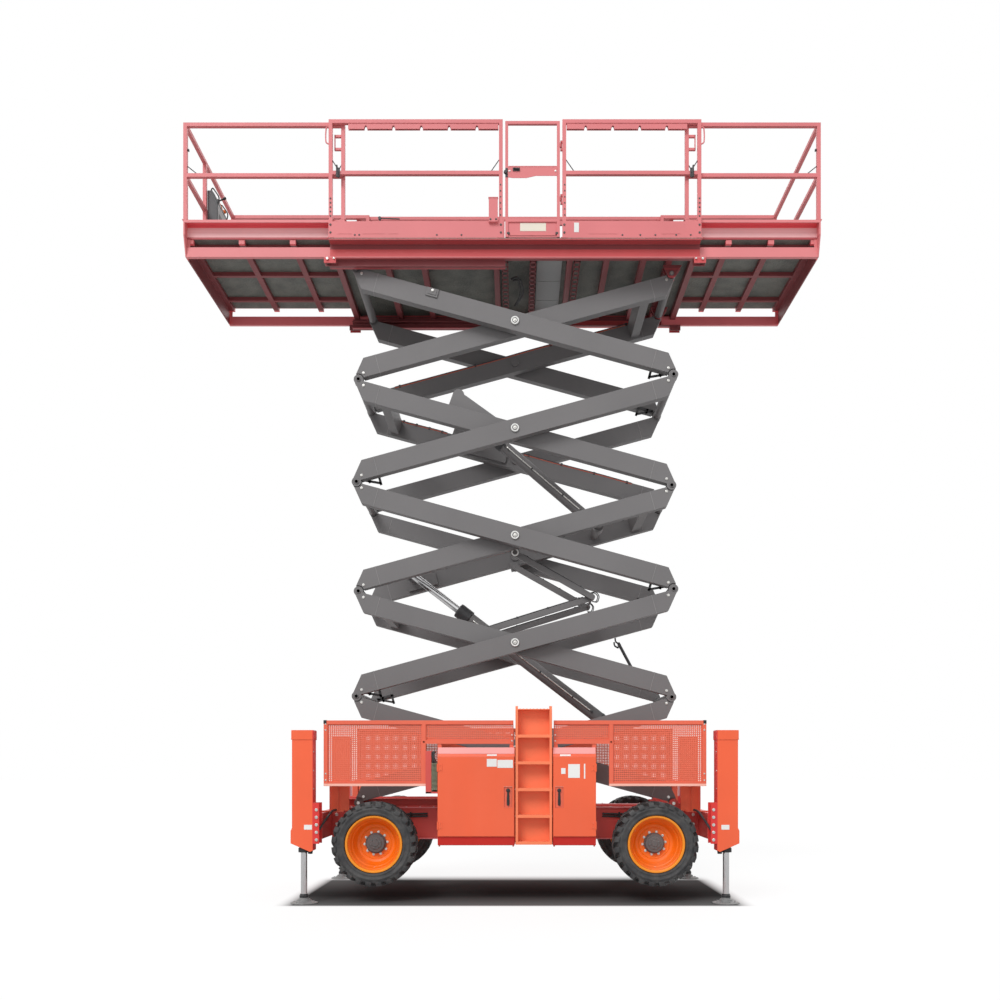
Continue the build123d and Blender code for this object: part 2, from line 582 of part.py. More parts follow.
LADDER_STEP, LADDER_TOP = 268, 1980
LADDER_SIDE, LADDER_PLATE = 25, 8
LADDER_Y = (-1140, -1000)
LADDER_Z = POD_Z[0] + 7
with BuildPart() as ladder:
    # side plates, with their upper front corners cut off
    for x in (LADDER_X[0], LADDER_X[1] - LADDER_SIDE):
        with BuildSketch(Plane.YZ.offset(MID_X + x)) as side_plate:
            with BuildLine():
                Polyline(
                    (LADDER_Y[0], LADDER_Z),
                    (LADDER_Y[0], LADDER_TOP - 45),
                    (LADDER_Y[0] + 45, LADDER_TOP),
                    (LADDER_Y[1], LADDER_TOP),
                    (LADDER_Y[1], LADDER_Z),
                    close=True,
                )
            make_face()
        extrude(side_plate.sketch, LADDER_SIDE)
    block(x_of(LADDER_X), (LADDER_Y[1], LADDER_Y[1] + LADDER_PLATE), (LADDER_Z, LADDER_TOP - 30))
    # folded steps: a tread and a lip turned down at its front edge
    z = LADDER_Z
    while z < LADDER_TOP - LADDER_STEP:
        block(x_of(LADDER_X), (LADDER_Y[0], LADDER_Y[1] + 1), (z + 22, z + 30))
        block(x_of(LADDER_X), (LADDER_Y[0], LADDER_Y[0] + LADDER_PLATE), (z, z + 30))
        z += LADDER_STEP
    block(x_of(LADDER_X), (LADDER_Y[0] + 20, LADDER_Y[1] + 1), (LADDER_TOP - 38, LADDER_TOP - 30))
    for x in (60, 270):
        for z in (800, 1400):
            block(x_of((x, x + 40)), (LADDER_Y[1] + 7, -POD_Y[1] + 200), (z, z + 60))
write(ladder.part, "access_ladder")

GUARD_T, GUARD_W, GUARD_MID = 34, 40, 1600
GUARD_PANELS = ((-GUARD_X, -900), (950, GUARD_X))  # of the two deeper panels on each side
GUARD_POSTS_X, GUARD_POST_W, GUARD_POST_Y = (1785, 1865), 68, (690, 740)
with BuildPart() as guards:
    for side in SIDES:
        y = mirrored((GUARD_Y - GUARD_T / 2, GUARD_Y + GUARD_T / 2), side)
        spans = [(-GUARD_X, GUARD_X)]
        if side < 0:
            spans = [(-GUARD_X, LADDER_X[0] - 20), (LADDER_X[1] + 20, GUARD_X)]
        for a, b in spans:
            for z in (GUARD_Z[1] - GUARD_W, GUARD_MID):
                block(x_of((a, b)), y, (z, z + GUARD_W))
        for a, b in GUARD_PANELS:
            block(x_of((a, b)), y, (GUARD_Z[0], GUARD_Z[0] + GUARD_W))
            for x in (a, b - GUARD_W):
                block(x_of((x, x + GUARD_W)), y, (GUARD_Z[0], GUARD_Z[1]))
        foot_y = mirrored((GUARD_Y - 10, GUARD_Y + 10), side)
        for x in (-780, LADDER_X[0] - GUARD_W - 20, LADDER_X[1] + 20, 780):
            block(x_of((x, x + GUARD_W)), foot_y, (POD_Z[1], GUARD_MID + 1))
        # posts that carry the guards, in pairs on a foot plate on the outrigger beams
        for end in ENDS:
            for post_x in GUARD_POSTS_X:
                x = x_of(sorted((end * post_x, end * (post_x + GUARD_POST_W))))
                block(x, mirrored(GUARD_POST_Y, side), (BEAM_Z[1] + 11, GUARD_Z[0] + 1))
                block(x, mirrored((GUARD_POST_Y[0], GUARD_Y), side), (GUARD_Z[0], GUARD_Z[0] + 30))
            foot_x = x_of(sorted((end * (GUARD_POSTS_X[0] - 5), end * (FRAME_X + BEAM_T - 5))))
            foot_y = mirrored((GUARD_POST_Y[0] - 5, GUARD_POST_Y[1] + 15), side)
            block(foot_x, foot_y, (BEAM_Z[1], BEAM_Z[1] + 12))
write(guards.part, "guard_frames")
with BuildPart() as meshes:
    for side in SIDES:
        y = mirrored((GUARD_Y - 2, GUARD_Y + 2), side)
        for a, b in GUARD_PANELS:
            x = x_of((a + GUARD_W, b - GUARD_W))
            block(x, y, (GUARD_Z[0] + GUARD_W, GUARD_MID))
            block(x, y, (GUARD_MID + GUARD_W, GUARD_Z[1] - GUARD_W))
write(meshes.part, "guard_meshes")

# ---------------------------------------------------------------- platform
FLOOR_T = 8
EXT_BEAM_Y = (TOP_TRACK_Y[1] + 10, TOP_TRACK_Y[1] + 50)
EXT_BEAM_Z = (6645, 6745)
TOP_PIN_Z = PIVOT_Z + STAGES * RISE
BEAM_WEB_Y = (EXT_BEAM_Y[1] + 7, EXT_BEAM_Y[1] + 15)
BEAM_BOTTOM = EXT_BEAM_Z[0] - 13
EDGE_BOTTOM = 6763  # of the plate along the edge of the fixed deck
CROSS_BOTTOM, CROSS_END_BOTTOM = 6702, EXT_BEAM_Z[1] + 7
FLOOR_BOTTOM = DECK_TOP - FLOOR_T
DECK_ROLLER_R, DECK_ROLLER_X = 28, DECK_X + 28
CROSS_PITCH, CROSS_W = 388, 60
# cross members, with one left out over the upper cylinder's rod eye when the lift is down
CROSS_X = [-1390 + n * CROSS_PITCH for n in range(8) if n != 2]
CROSS_X += [-DECK_X, PIVOT_X - 65, DECK_X - CROSS_W]
with BuildPart() as platform_frame:
    for side in SIDES:
        # side beam: a channel, open inwards, that the roll-out decks' beams run in
        x = x_of((-DECK_X, DECK_X))
        block(x, mirrored(BEAM_WEB_Y, side), (BEAM_BOTTOM, FLOOR_BOTTOM))
        block(x, mirrored((TOP_TRACK_Y[1] - 1, BEAM_WEB_Y[1]), side), (BEAM_BOTTOM, BEAM_BOTTOM + 8))
        block(x, mirrored((DECK_Y - 8, DECK_Y), side), (EDGE_BOTTOM, FLOOR_BOTTOM))
        block(x, mirrored((BEAM_WEB_Y[1] - 1, DECK_Y - 7), side), (FLOOR_BOTTOM - 8, FLOOR_BOTTOM))
        # channels for the upper sliders: upper and lower flange, web
        x = x_of(TRACK_X)
        lip = (TOP_PIN_Z - TRACK_HALF - TRACK_T, TOP_PIN_Z - TRACK_HALF)
        block(x, mirrored(TOP_TRACK_Y, side), (TOP_PIN_Z + TRACK_HALF, TOP_PIN_Z + TRACK_HALF + TRACK_T))
        block(x, mirrored((TOP_TRACK_Y[0] + 8, TOP_TRACK_Y[1]), side), lip)
        block(x, mirrored((TOP_TRACK_Y[1] - TRACK_T, TOP_TRACK_Y[1]), side), (lip[0], CROSS_BOTTOM + 1))
        # forks for the fixed upper pins
        for inner_face in (INNER_Y - ARM_SIDE, INNER_Y + FORK_GAP / 2):
            y = mirrored((inner_face, inner_face + PRONG), side)
            with BuildSketch(Plane.XZ.offset(-y[0])) as cheek:
                with BuildLine():
                    Polyline(
                        (MID_X + PIVOT_X - LUG_R, TOP_PIN_Z),
                        (MID_X + PIVOT_X - FORK_REACH[0], CROSS_BOTTOM + 1),
                        (MID_X + PIVOT_X + FORK_REACH[1], CROSS_BOTTOM + 1),
                        (MID_X + PIVOT_X + LUG_R, TOP_PIN_Z),
                        close=True,
                    )
                make_face()
                with Locations((MID_X + PIVOT_X, TOP_PIN_Z)):
                    Circle(LUG_R)
                    Circle(PIN_R + PIN_GAP, mode=Mode.SUBTRACT)
            extrude(cheek.sketch, y[0] - y[1])
        # rollers under the roll-out decks' beams, between two cheeks at each end of the side beam
        for end in ENDS:
            x = sorted((MID_X + end * (DECK_X - 60), MID_X + end * (DECK_ROLLER_X + 36)))
            roller_z = EXT_BEAM_Z[0] - SEAT_GAP - DECK_ROLLER_R
            for y in ((TOP_TRACK_Y[1] - 5, EXT_BEAM_Y[0] - 5), (BEAM_WEB_Y[0], BEAM_WEB_Y[0] + 12)):
                block(x, mirrored(y, side), (roller_z - 40, EXT_BEAM_Z[0] - 6))
            y = mirrored((TOP_TRACK_Y[1] - 8, BEAM_WEB_Y[0] + 18), side)
            pin(10, MID_X + end * DECK_ROLLER_X, roller_z, y)
            pin(DECK_ROLLER_R, MID_X + end * DECK_ROLLER_X, roller_z, mirrored(EXT_BEAM_Y, side))
    for x in CROSS_X:
        x = x_of((x, x + CROSS_W))
        block(x, (-TOP_TRACK_Y[1], TOP_TRACK_Y[1]), (CROSS_BOTTOM, FLOOR_BOTTOM))
        block(x, (-BEAM_WEB_Y[0] - 1, BEAM_WEB_Y[0] + 1), (CROSS_END_BOTTOM, FLOOR_BOTTOM))
write(platform_frame.part, "platform_frame")

with BuildPart() as platform_floor:
    block(x_of((-DECK_X, DECK_X)), (-DECK_Y, DECK_Y), (FLOOR_BOTTOM, DECK_TOP))
write(platform_floor.part, "platform_floor")

GATE_X = (-100, 460)
RAIL_Y = 895
END_POST_X = DECK_X - 20
GATE_CLEARANCE = 26  # between the gate's opening and the posts beside it
HINGE_X, HINGE_Y = GATE_X[1] + 15, -(RAIL_Y - 22)
GATE_HINGES_Z = (7200, 7750)


def tube(start, end, size):
    """A square tube along one axis, between the middles of the tubes that it meets."""
    block(*((min(a, b) - size / 2, max(a, b) + size / 2) for a, b in zip(start, end)))


with BuildPart() as platform_rails:
    gate_post = GATE_CLEARANCE + RAIL_D / 2
    posts = (-END_POST_X, GATE_X[0] - gate_post, GATE_X[1] + gate_post, END_POST_X)
    for side in SIDES:
        y = side * RAIL_Y
        spans = (posts[:2], posts[2:]) if side < 0 else ((posts[0], posts[3]),)
        for a, b in spans:
            for z in (RAIL_TOP - RAIL_D / 2, RAIL_MID):
                tube((MID_X + a, y, z), (MID_X + b, y, z), RAIL_D)
            block(x_of((a - 20, b + 20)), mirrored((DECK_Y - 8, DECK_Y), side), (DECK_TOP, TOE_TOP))
        if side < 0:
            # lugs under and over the gate's hinge barrels
            for z in GATE_HINGES_Z:
                for up in (-1, 1):
                    lug_z = sorted((z + up * (30 + SEAT_GAP), z + up * 50))
                    block((MID_X + HINGE_X - 9, MID_X + posts[2]), (HINGE_Y - 13, HINGE_Y + 9), lug_z)
        for x in posts:
            tube((MID_X + x, y, DECK_TOP + RAIL_D / 2), (MID_X + x, y, RAIL_TOP - RAIL_D / 2), RAIL_D)
write(platform_rails.part, "platform_rails")

GATE_TUBE = 30
with BuildPart() as gate:
    bottom, top = DECK_TOP + 12, RAIL_TOP - 15
    x0, x1 = MID_X + GATE_X[0] + 15, MID_X + GATE_X[1] - 15
    y = -RAIL_Y
    for z in (top - GATE_TUBE / 2, RAIL_MID, bottom + 170):
        tube((x0, y, z), (x1, y, z), GATE_TUBE)
    for x in (x0, x1):
        tube((x, y, bottom + GATE_TUBE / 2), (x, y, top - GATE_TUBE / 2), GATE_TUBE)
    block((x0, x1), (y - 3, y + 3), (bottom, bottom + 170))
    for z in GATE_HINGES_Z:
        rod(9, (MID_X + HINGE_X, HINGE_Y, z - 30), (MID_X + HINGE_X, HINGE_Y, z + 30))
        block((x1, MID_X + HINGE_X), (y, y + 22), (z - 20, z + 20))
write(gate.part, "gate")

CURB_Y, CURB_TOP = EXT_Y - 105, 6995  # web of the curb along each roll-out deck
CURB_T, CURB_LIP = 8, 29
EXT_CROSS_Z = (DECK_TOP + 15, EXT_TOP - 6)
EXT_CROSSES, EXT_STRINGERS_Y = 4, (-650, -80, 500)
END_PLATE_T = 12
EXT_RAIL_Y, EXT_RAIL_TOP = EXT_Y - RAIL_D / 2, 7995
for name, tip, way in (("front", FRONT_END, 1), ("rear", REAR_END, -1)):
    root = -way * (DECK_X - OVERLAP)  # inner end of the roll-out deck
    x = x_of(sorted((tip, root)))
    with BuildPart() as ext_frame:
        for side in SIDES:
            block(x, mirrored(EXT_BEAM_Y, side), EXT_BEAM_Z)
            # curb: web, cap and lip
            block(x, mirrored((CURB_Y, CURB_Y + CURB_T), side), (EXT_CROSS_Z[1], CURB_TOP))
            block(x, mirrored((CURB_Y, EXT_Y), side), (CURB_TOP - CURB_T, CURB_TOP))
            block(x, mirrored((EXT_Y - CURB_T, EXT_Y), side), (CURB_TOP - CURB_LIP, CURB_TOP))
            # gusset between the beam and the curb, behind the end plate
            gusset_x = x_of(sorted((tip, tip + way * 38)))
            gusset_y = mirrored((CURB_Y, CURB_Y + CURB_T), side)
            block(gusset_x, gusset_y, (EXT_BEAM_Z[1] - 1, EXT_CROSS_Z[1] + 1))
            # slide pad on the fixed deck
            pad_x = x_of(sorted((root, root - way * 80)))
            pad_y = mirrored((CURB_Y - 66, CURB_Y - 26), side)
            block(pad_x, pad_y, (DECK_TOP + SEAT_GAP, EXT_CROSS_Z[0] + 1))
        # end plate, narrower at the beams than at the curb
        end_x = x_of(sorted((tip, tip + way * END_PLATE_T)))
        with BuildSketch(Plane.YZ.offset(end_x[0])) as end_plate:
            with BuildLine():
                Polyline(
                    (-EXT_Y, CURB_TOP),
                    (-EXT_Y, EXT_CROSS_Z[1]),
                    (-EXT_BEAM_Y[1], EXT_BEAM_Z[0]),
                    (EXT_BEAM_Y[1], EXT_BEAM_Z[0]),
                    (EXT_Y, EXT_CROSS_Z[1]),
                    (EXT_Y, CURB_TOP),
                    close=True,
                )
            make_face()
        extrude(end_plate.sketch, end_x[1] - end_x[0])
        for n in range(EXT_CROSSES):
            pitch = (abs(tip - root) - END_PLATE_T - CROSS_W) / (EXT_CROSSES - 1)
            u = tip + way * (END_PLATE_T + n * pitch)
            block(x_of(sorted((u, u + way * CROSS_W))), (-CURB_Y - 1, CURB_Y + 1), EXT_CROSS_Z)
        for y in EXT_STRINGERS_Y:
            block(x, (y - 20, y + 20), EXT_CROSS_Z)
    write(ext_frame.part, f"{name}_extension_frame")
    with BuildPart() as ext_floor:
        floor_x = x_of(sorted((tip + way * END_PLATE_T, root)))
        block(floor_x, (-CURB_Y, CURB_Y), (EXT_CROSS_Z[1], EXT_TOP))
    write(ext_floor.part, f"{name}_extension_floor")
    with BuildPart() as ext_rails:
        foot, top = CURB_TOP + RAIL_D / 2, EXT_RAIL_TOP - RAIL_D / 2
        corner = MID_X + tip + way * RAIL_D / 2
        inner = MID_X + root - way * RAIL_D / 2
        for side in SIDES:
            y = side * EXT_RAIL_Y
            for z in (top, RAIL_MID):
                tube((corner, y, z), (inner, y, z), RAIL_D)
            for px in (corner, inner):
                tube((px, y, foot), (px, y, top), RAIL_D)
        for z in (top, RAIL_MID):
            tube((corner, -EXT_RAIL_Y, z), (corner, EXT_RAIL_Y, z), RAIL_D)
        if name == "front":
            tube((corner, FRONT_POST_Y, foot), (corner, FRONT_POST_Y, top), RAIL_D)
    write(ext_rails.part, f"{name}_extension_rails")

with BuildPart() as control_box:
    x0 = MID_X + FRONT_END + RAIL_D + SEAT_GAP
    block((x0, x0 + CONTROL_T), CONTROL_Y, CONTROL_Z)
write(control_box.part, "control_box")
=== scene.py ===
"""Looks for a rough-terrain scissor lift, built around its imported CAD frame. Metres, +Z up."""

import math

import bmesh
import bpy
from mathutils import Matrix, Vector
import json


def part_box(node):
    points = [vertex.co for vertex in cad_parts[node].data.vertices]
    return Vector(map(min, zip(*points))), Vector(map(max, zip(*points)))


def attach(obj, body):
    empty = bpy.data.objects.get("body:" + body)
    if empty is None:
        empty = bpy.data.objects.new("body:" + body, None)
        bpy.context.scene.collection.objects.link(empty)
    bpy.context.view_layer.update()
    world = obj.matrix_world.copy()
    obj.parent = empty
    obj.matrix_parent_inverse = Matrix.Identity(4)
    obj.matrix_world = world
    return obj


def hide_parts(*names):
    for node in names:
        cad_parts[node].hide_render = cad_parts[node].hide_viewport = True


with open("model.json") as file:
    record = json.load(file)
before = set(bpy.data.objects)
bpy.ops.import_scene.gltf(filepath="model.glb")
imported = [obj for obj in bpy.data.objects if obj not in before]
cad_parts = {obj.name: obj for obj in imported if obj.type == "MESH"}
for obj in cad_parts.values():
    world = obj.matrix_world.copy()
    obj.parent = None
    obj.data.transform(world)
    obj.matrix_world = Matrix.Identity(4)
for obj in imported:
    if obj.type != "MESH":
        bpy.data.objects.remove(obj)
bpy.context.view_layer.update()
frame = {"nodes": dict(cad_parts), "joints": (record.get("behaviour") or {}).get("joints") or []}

JOINTS = {joint["name"]: joint for joint in frame["joints"]}
SIDES = {"near": -1, "far": 1}
ENDS = {"front": -1, "rear": 1}
STAGES = 5


def joint_at(name):
    """Where a joint's axis passes, in the row frame."""
    return Vector(JOINTS[name]["pos_m"])


STACK_X = joint_at("inner_arm_1_pivot").x  # middle of the scissor stack and of the machine


def from_middle(*places):
    """Places along X, given from the middle of the machine."""
    return tuple(STACK_X + place for place in places)


def around(middle, half):
    """A span about its middle."""
    return middle - half, middle + half


def circle(count, radius=1, start=0):
    """Places round a circle, as pairs of distances from its middle."""
    for n in range(count):
        angle = 2 * math.pi * n / count + start
        yield radius * math.cos(angle), radius * math.sin(angle)


def aimed(at, axis):
    """A place at a point, with +Z along an axis."""
    return Matrix.Translation(Vector(at)) @ Vector(axis).to_track_quat("Z", "Y").to_matrix().to_4x4()


# ---------------------------------------------------------------- camera, light, floor
CAMERA_HEIGHT = 1.377
CAMERA_DISTANCE = 11.0
LENS, SENSOR_HEIGHT, SENSOR_WIDTH = 35.46, 36.0, 20.0
SHIFT = (-0.015, 0.266)


def make_camera():
    """A level camera facing the ladder side, with a raised lens as for tall buildings."""
    camera = bpy.data.objects.new("camera", bpy.data.cameras.new("camera"))
    bpy.context.scene.collection.objects.link(camera)
    camera.location = (STACK_X, -CAMERA_DISTANCE, CAMERA_HEIGHT)
    camera.rotation_euler = (math.radians(90), 0, 0)
    camera.data.sensor_fit = "VERTICAL"
    camera.data.sensor_height = SENSOR_HEIGHT
    camera.data.sensor_width = SENSOR_WIDTH
    camera.data.lens = LENS
    camera.data.shift_x, camera.data.shift_y = SHIFT
    camera.data.clip_end = 200
    bpy.context.scene.camera = camera


def make_lights():
    """A soft key from high on the left of the ladder side and a weak one from behind."""
    for name, strength, spread, turn in (
        ("key", 1.7, 28, (48, 0, -26)),
        ("back", 0.5, 60, (60, 0, 160)),
    ):
        lamp = bpy.data.lights.new(name, "SUN")
        lamp.energy = strength
        lamp.angle = math.radians(spread)
        lamp_object = bpy.data.objects.new(name, lamp)
        lamp_object.rotation_euler = [math.radians(angle) for angle in turn]
        bpy.context.scene.collection.objects.link(lamp_object)


def make_world(strength=0.72):
    """Even sky light, seen as plain white by the camera and in reflections."""
    world = bpy.data.worlds.new("studio")
    bpy.context.scene.world = world
    world.use_nodes = True
    tree = world.node_tree
    tree.nodes.clear()
    paths = new_node(tree, "LightPath")
    seen = paths.outputs["Is Camera Ray"]
    for other in ("Is Glossy Ray", "Is Transmission Ray"):
        seen = math_node(tree, "MAXIMUM", seen, paths.outputs[other])
    light = new_node(tree, "Background", {"Color": (1, 1, 1, 1), "Strength": strength})
    white = new_node(tree, "Background", {"Color": (1, 1, 1, 1)})
    choose = new_node(tree, "MixShader", {"Fac": seen, 1: light.outputs[0], 2: white.outputs[0]})
    new_node(tree, "OutputWorld", {"Surface": choose.outputs[0]})


# ---------------------------------------------------------------- shader node groups
def new_group(name, inputs, outputs):
    """A shader node group with named sockets: (name, kind, default) and (name, kind)."""
    group = bpy.data.node_groups.new(name, "ShaderNodeTree")
    for socket, kind, default in inputs:
        made = group.interface.new_socket(socket, in_out="INPUT", socket_type="NodeSocket" + kind)
        made.default_value = default
    for socket, kind in outputs:
        group.interface.new_socket(socket, in_out="OUTPUT", socket_type="NodeSocket" + kind)
    nodes = group.nodes
    return group, nodes.new("NodeGroupInput"), nodes.new("NodeGroupOutput")


def feed(tree, node, values):
    """Sets or links the sockets of a node, given as {socket: number, colour or output}."""
    for socket, value in values.items():
        if isinstance(value, bpy.types.NodeSocket):
            tree.links.new(value, node.inputs[socket])
        else:
            node.inputs[socket].default_value = value
    return node


def new_node(tree, kind, values=None):
    """A new shader node with its sockets set or linked."""
    return feed(tree, tree.nodes.new("ShaderNode" + kind), values or {})


def use_group(tree, group, values=None):
    """A new node that runs a node group."""
    node = tree.nodes.new("ShaderNodeGroup")
    node.node_tree = group
    return feed(tree, node, values or {})


def math_node(tree, operation, first, second=0):
    """A math node on one or two values, each a socket or a number."""
    node = new_node(tree, "Math", {0: first, 1: second})
    node.operation = operation
    return node.outputs[0]


def map_range(tree, value, from_low, from_high, to_low, to_high):
    """A clamped linear map of a value."""
    values = {0: value, 1: from_low, 2: from_high, 3: to_low, 4: to_high}
    return new_node(tree, "MapRange", values).outputs[0]


def noise(tree, scale, detail=3.0, stretch=(1, 1, 1)):
    """Noise in the piece's own coordinates."""
    coordinates = new_node(tree, "TexCoord")
    mapping = new_node(tree, "Mapping", {"Vector": coordinates.outputs["Object"], "Scale": stretch})
    values = {"Vector": mapping.outputs[0], "Scale": scale, "Detail": detail}
    return new_node(tree, "TexNoise", values).outputs["Fac"]


def mix_colour(tree, amount, first, second):
    """A colour mix by a value; colours are sockets or tuples."""
    node = tree.nodes.new("ShaderNodeMix")
    node.data_type = "RGBA"
    tree.links.new(amount, node.inputs["Factor"])
    for name, colour in (("A", first), ("B", second)):
        socket = [s for s in node.inputs if s.name == name and s.type == "RGBA"][0]
        if isinstance(colour, tuple):
            socket.default_value = colour
        else:
            tree.links.new(colour, socket)
    return [s for s in node.outputs if s.type == "RGBA"][0]


def bump(tree, height, strength, distance, normal=None):
    """A normal that follows small heights, on top of another normal if there is one."""
    node = new_node(tree, "Bump", {"Strength": strength, "Distance": distance, "Height": height})
    if normal is not None:
        feed(tree, node, {"Normal": normal})
    return node.outputs[0]


def dot(tree, first, second):
    """The dot product of two vectors."""
    node = new_node(tree, "VectorMath", {0: first, 1: second})
    node.operation = "DOT_PRODUCT"
    return node.outputs["Value"]


def make_edge_group():
    """Rounded shading at sharp edges, and a mask that is 1 along them."""
    group, inputs, outputs = new_group(
        "worn_edges",
        [("Radius", "Float", 0.004)],
        [("Normal", "Vector"), ("Edge", "Float")],
    )
    bevel = new_node(group, "Bevel", {"Radius": inputs.outputs["Radius"]})
    bevel.samples = 4
    flat = new_node(group, "NewGeometry").outputs["Normal"]
    edge = map_range(group, dot(group, bevel.outputs[0], flat), 0.995, 0.86, 0, 1)
    feed(group, outputs, {"Normal": bevel.outputs[0], "Edge": edge})
    return group


def make_paint_group(edges):
    """Sprayed paint: slow tone changes, rubbed edges, dust that lies on top, orange peel."""
    group, inputs, outputs = new_group(
        "sprayed_paint",
        [
            ("Paint", "Color", (0.8, 0.2, 0.1, 1)),
            ("Rubbed", "Color", (0.8, 0.4, 0.3, 1)),
            ("Dust", "Color", (0.5, 0.45, 0.4, 1)),
            ("Rub", "Float", 0.35),
            ("Dust amount", "Float", 0.2),
            ("Roughness", "Float", 0.4),
        ],
        [("Color", "Color"), ("Roughness", "Float"), ("Normal", "Vector")],
    )
    rounded = use_group(group, edges)
    tone = map_range(group, noise(group, 1.3, 4), 0.3, 0.7, 0.0, 1.0)
    darker = new_node(group, "HueSaturation", {"Value": 0.9, "Color": inputs.outputs["Paint"]})
    colour = mix_colour(group, tone, inputs.outputs["Paint"], darker.outputs[0])
    rubbed = math_node(group, "MULTIPLY", rounded.outputs["Edge"], inputs.outputs["Rub"])
    patches = map_range(group, noise(group, 22, 5), 0.35, 0.6, 0.2, 1)
    rubbed = math_node(group, "MULTIPLY", rubbed, patches)
    colour = mix_colour(group, rubbed, colour, inputs.outputs["Rubbed"])
    shape = new_node(group, "NewGeometry")
    height = new_node(group, "SeparateXYZ", {0: shape.outputs["Normal"]})
    upward = map_range(group, height.outputs["Z"], 0.3, 0.95, 0.15, 1)
    streaks = map_range(group, noise(group, 3.5, 6, (1, 1, 0.15)), 0.42, 0.75, 0, 1)
    dust = math_node(group, "MULTIPLY", upward, streaks)
    dust = math_node(group, "MULTIPLY", dust, inputs.outputs["Dust amount"])
    colour = mix_colour(group, dust, colour, inputs.outputs["Dust"])
    uneven = map_range(group, noise(group, 60, 2), 0.3, 0.7, -0.05, 0.08)
    rough = math_node(group, "ADD", inputs.outputs["Roughness"], uneven)
    rough = math_node(group, "ADD", rough, math_node(group, "MULTIPLY", dust, 0.4))
    peel = bump(group, noise(group, 180, 1), 0.06, 0.002, rounded.outputs["Normal"])
    feed(group, outputs, {"Color": colour, "Roughness": rough, "Normal": peel})
    return group


def make_zone_group():
    """A mask that is 1 between two distances, measured along a direction from a place."""
    group, inputs, outputs = new_group(
        "paint_zone",
        [
            ("Direction", "Vector", (0, 1, 0)), ("Place", "Float", 0), ("Low", "Float", 0),
            ("High", "Float", 1),
        ],
        [("Mask", "Float")],
    )
    given = inputs.outputs
    soft = 0.003
    along = dot(group, new_node(group, "TexCoord").outputs["Object"], given["Direction"])
    away = math_node(group, "ABSOLUTE", math_node(group, "SUBTRACT", along, given["Place"]))
    above = map_range(group, math_node(group, "SUBTRACT", away, given["Low"]), -soft, soft, 0, 1)
    below = map_range(group, math_node(group, "SUBTRACT", given["High"], away), -soft, soft, 0, 1)
    feed(group, outputs, {"Mask": math_node(group, "MULTIPLY", above, below)})
    return group


EDGES = make_edge_group()
PAINT = make_paint_group(EDGES)
ZONE = make_zone_group()
X, Y, Z = (1, 0, 0), (0, 1, 0), (0, 0, 1)


def new_material(name):
    """An empty node material with its Principled shader."""
    material = bpy.data.materials.new(name)
    material.use_nodes = True
    return material, material.node_tree, material.node_tree.nodes["Principled BSDF"]


def zone_mask(tree, limits):
    """The product of zones, each given as (direction, place, low, high)."""
    mask = None
    for limit in limits:
        zone = use_group(tree, ZONE, dict(zip(("Direction", "Place", "Low", "High"), limit))).outputs[0]
        mask = zone if mask is None else math_node(tree, "MULTIPLY", mask, zone)
    return mask


def painted(name, paint, rubbed, roughness=0.4, rub=0.35, dust=0.15, dust_colour=(0.55, 0.5, 0.45), zones=()):
    """A sprayed paint of one colour, with other colours in zones: (colour, limits)."""
    material, tree, shader = new_material(name)
    colour = (*paint, 1)
    for shade, limits in zones:
        colour = mix_colour(tree, zone_mask(tree, limits), colour, (*shade, 1))
    look = {"Paint": colour, "Rubbed": (*rubbed, 1), "Dust": (*dust_colour, 1)}
    film = use_group(tree, PAINT, {**look, "Rub": rub, "Dust amount": dust, "Roughness": roughness}).outputs
    feed(
        tree, shader,
        {"Base Color": film["Color"], "Roughness": film["Roughness"], "Normal": film["Normal"]},
    )
    feed(tree, shader, {"Specular IOR Level": 0.4})
    return material


def metal(name, colour, roughness, brushed=(1, 1, 1)):
    """Bare or plated metal with fine marks along one direction."""
    material, tree, shader = new_material(name)
    marks = noise(tree, 40, 4, brushed)
    rough = map_range(tree, marks, 0.3, 0.7, roughness * 0.7, roughness * 1.4)
    darker = (*(c * 0.85 for c in colour), 1)
    shade = mix_colour(tree, map_range(tree, marks, 0.3, 0.7, 0, 1), darker, (*colour, 1))
    rounded = use_group(tree, EDGES, {"Radius": 0.002}).outputs["Normal"]
    feed(tree, shader, {"Base Color": shade, "Metallic": 1, "Roughness": rough, "Normal": rounded})
    return material


def rubber(name, colour, dusty):
    """Tyre and hose rubber: matt, with pale dust in patches."""
    material, tree, shader = new_material(name)
    patches = map_range(tree, noise(tree, 9, 6), 0.4, 0.75, 0, 0.5)
    shade = mix_colour(tree, patches, (*colour, 1), (*dusty, 1))
    rough = map_range(tree, noise(tree, 50, 3), 0.3, 0.7, 0.55, 0.8)
    grain = bump(tree, noise(tree, 220, 2), 0.25, 0.001)
    feed(tree, shader, {"Base Color": shade, "Roughness": rough, "Normal": grain})
    return material


def deck_plate(name):
    """Steel deck with a raised anti-slip pattern, greyer and speckled with grime."""
    material, tree, shader = new_material(name)
    place = new_node(tree, "TexCoord").outputs["Object"]
    cells = new_node(tree, "TexVoronoi", {"Vector": place, "Scale": 34})
    spots = map_range(tree, cells.outputs["Distance"], 0.18, 0.42, 1, 0)
    grime = map_range(tree, noise(tree, 6, 6), 0.35, 0.7, 0, 1)
    base = mix_colour(tree, grime, (0.15, 0.155, 0.135, 1), (0.085, 0.09, 0.082, 1))
    speckles = map_range(tree, noise(tree, 90, 3), 0.5, 0.72, 0, 0.6)
    shade = mix_colour(tree, speckles, base, (0.3, 0.3, 0.27, 1))
    feed(tree, shader, {"Base Color": shade, "Roughness": 0.62, "Normal": bump(tree, spots, 0.6, 0.003)})
    return material


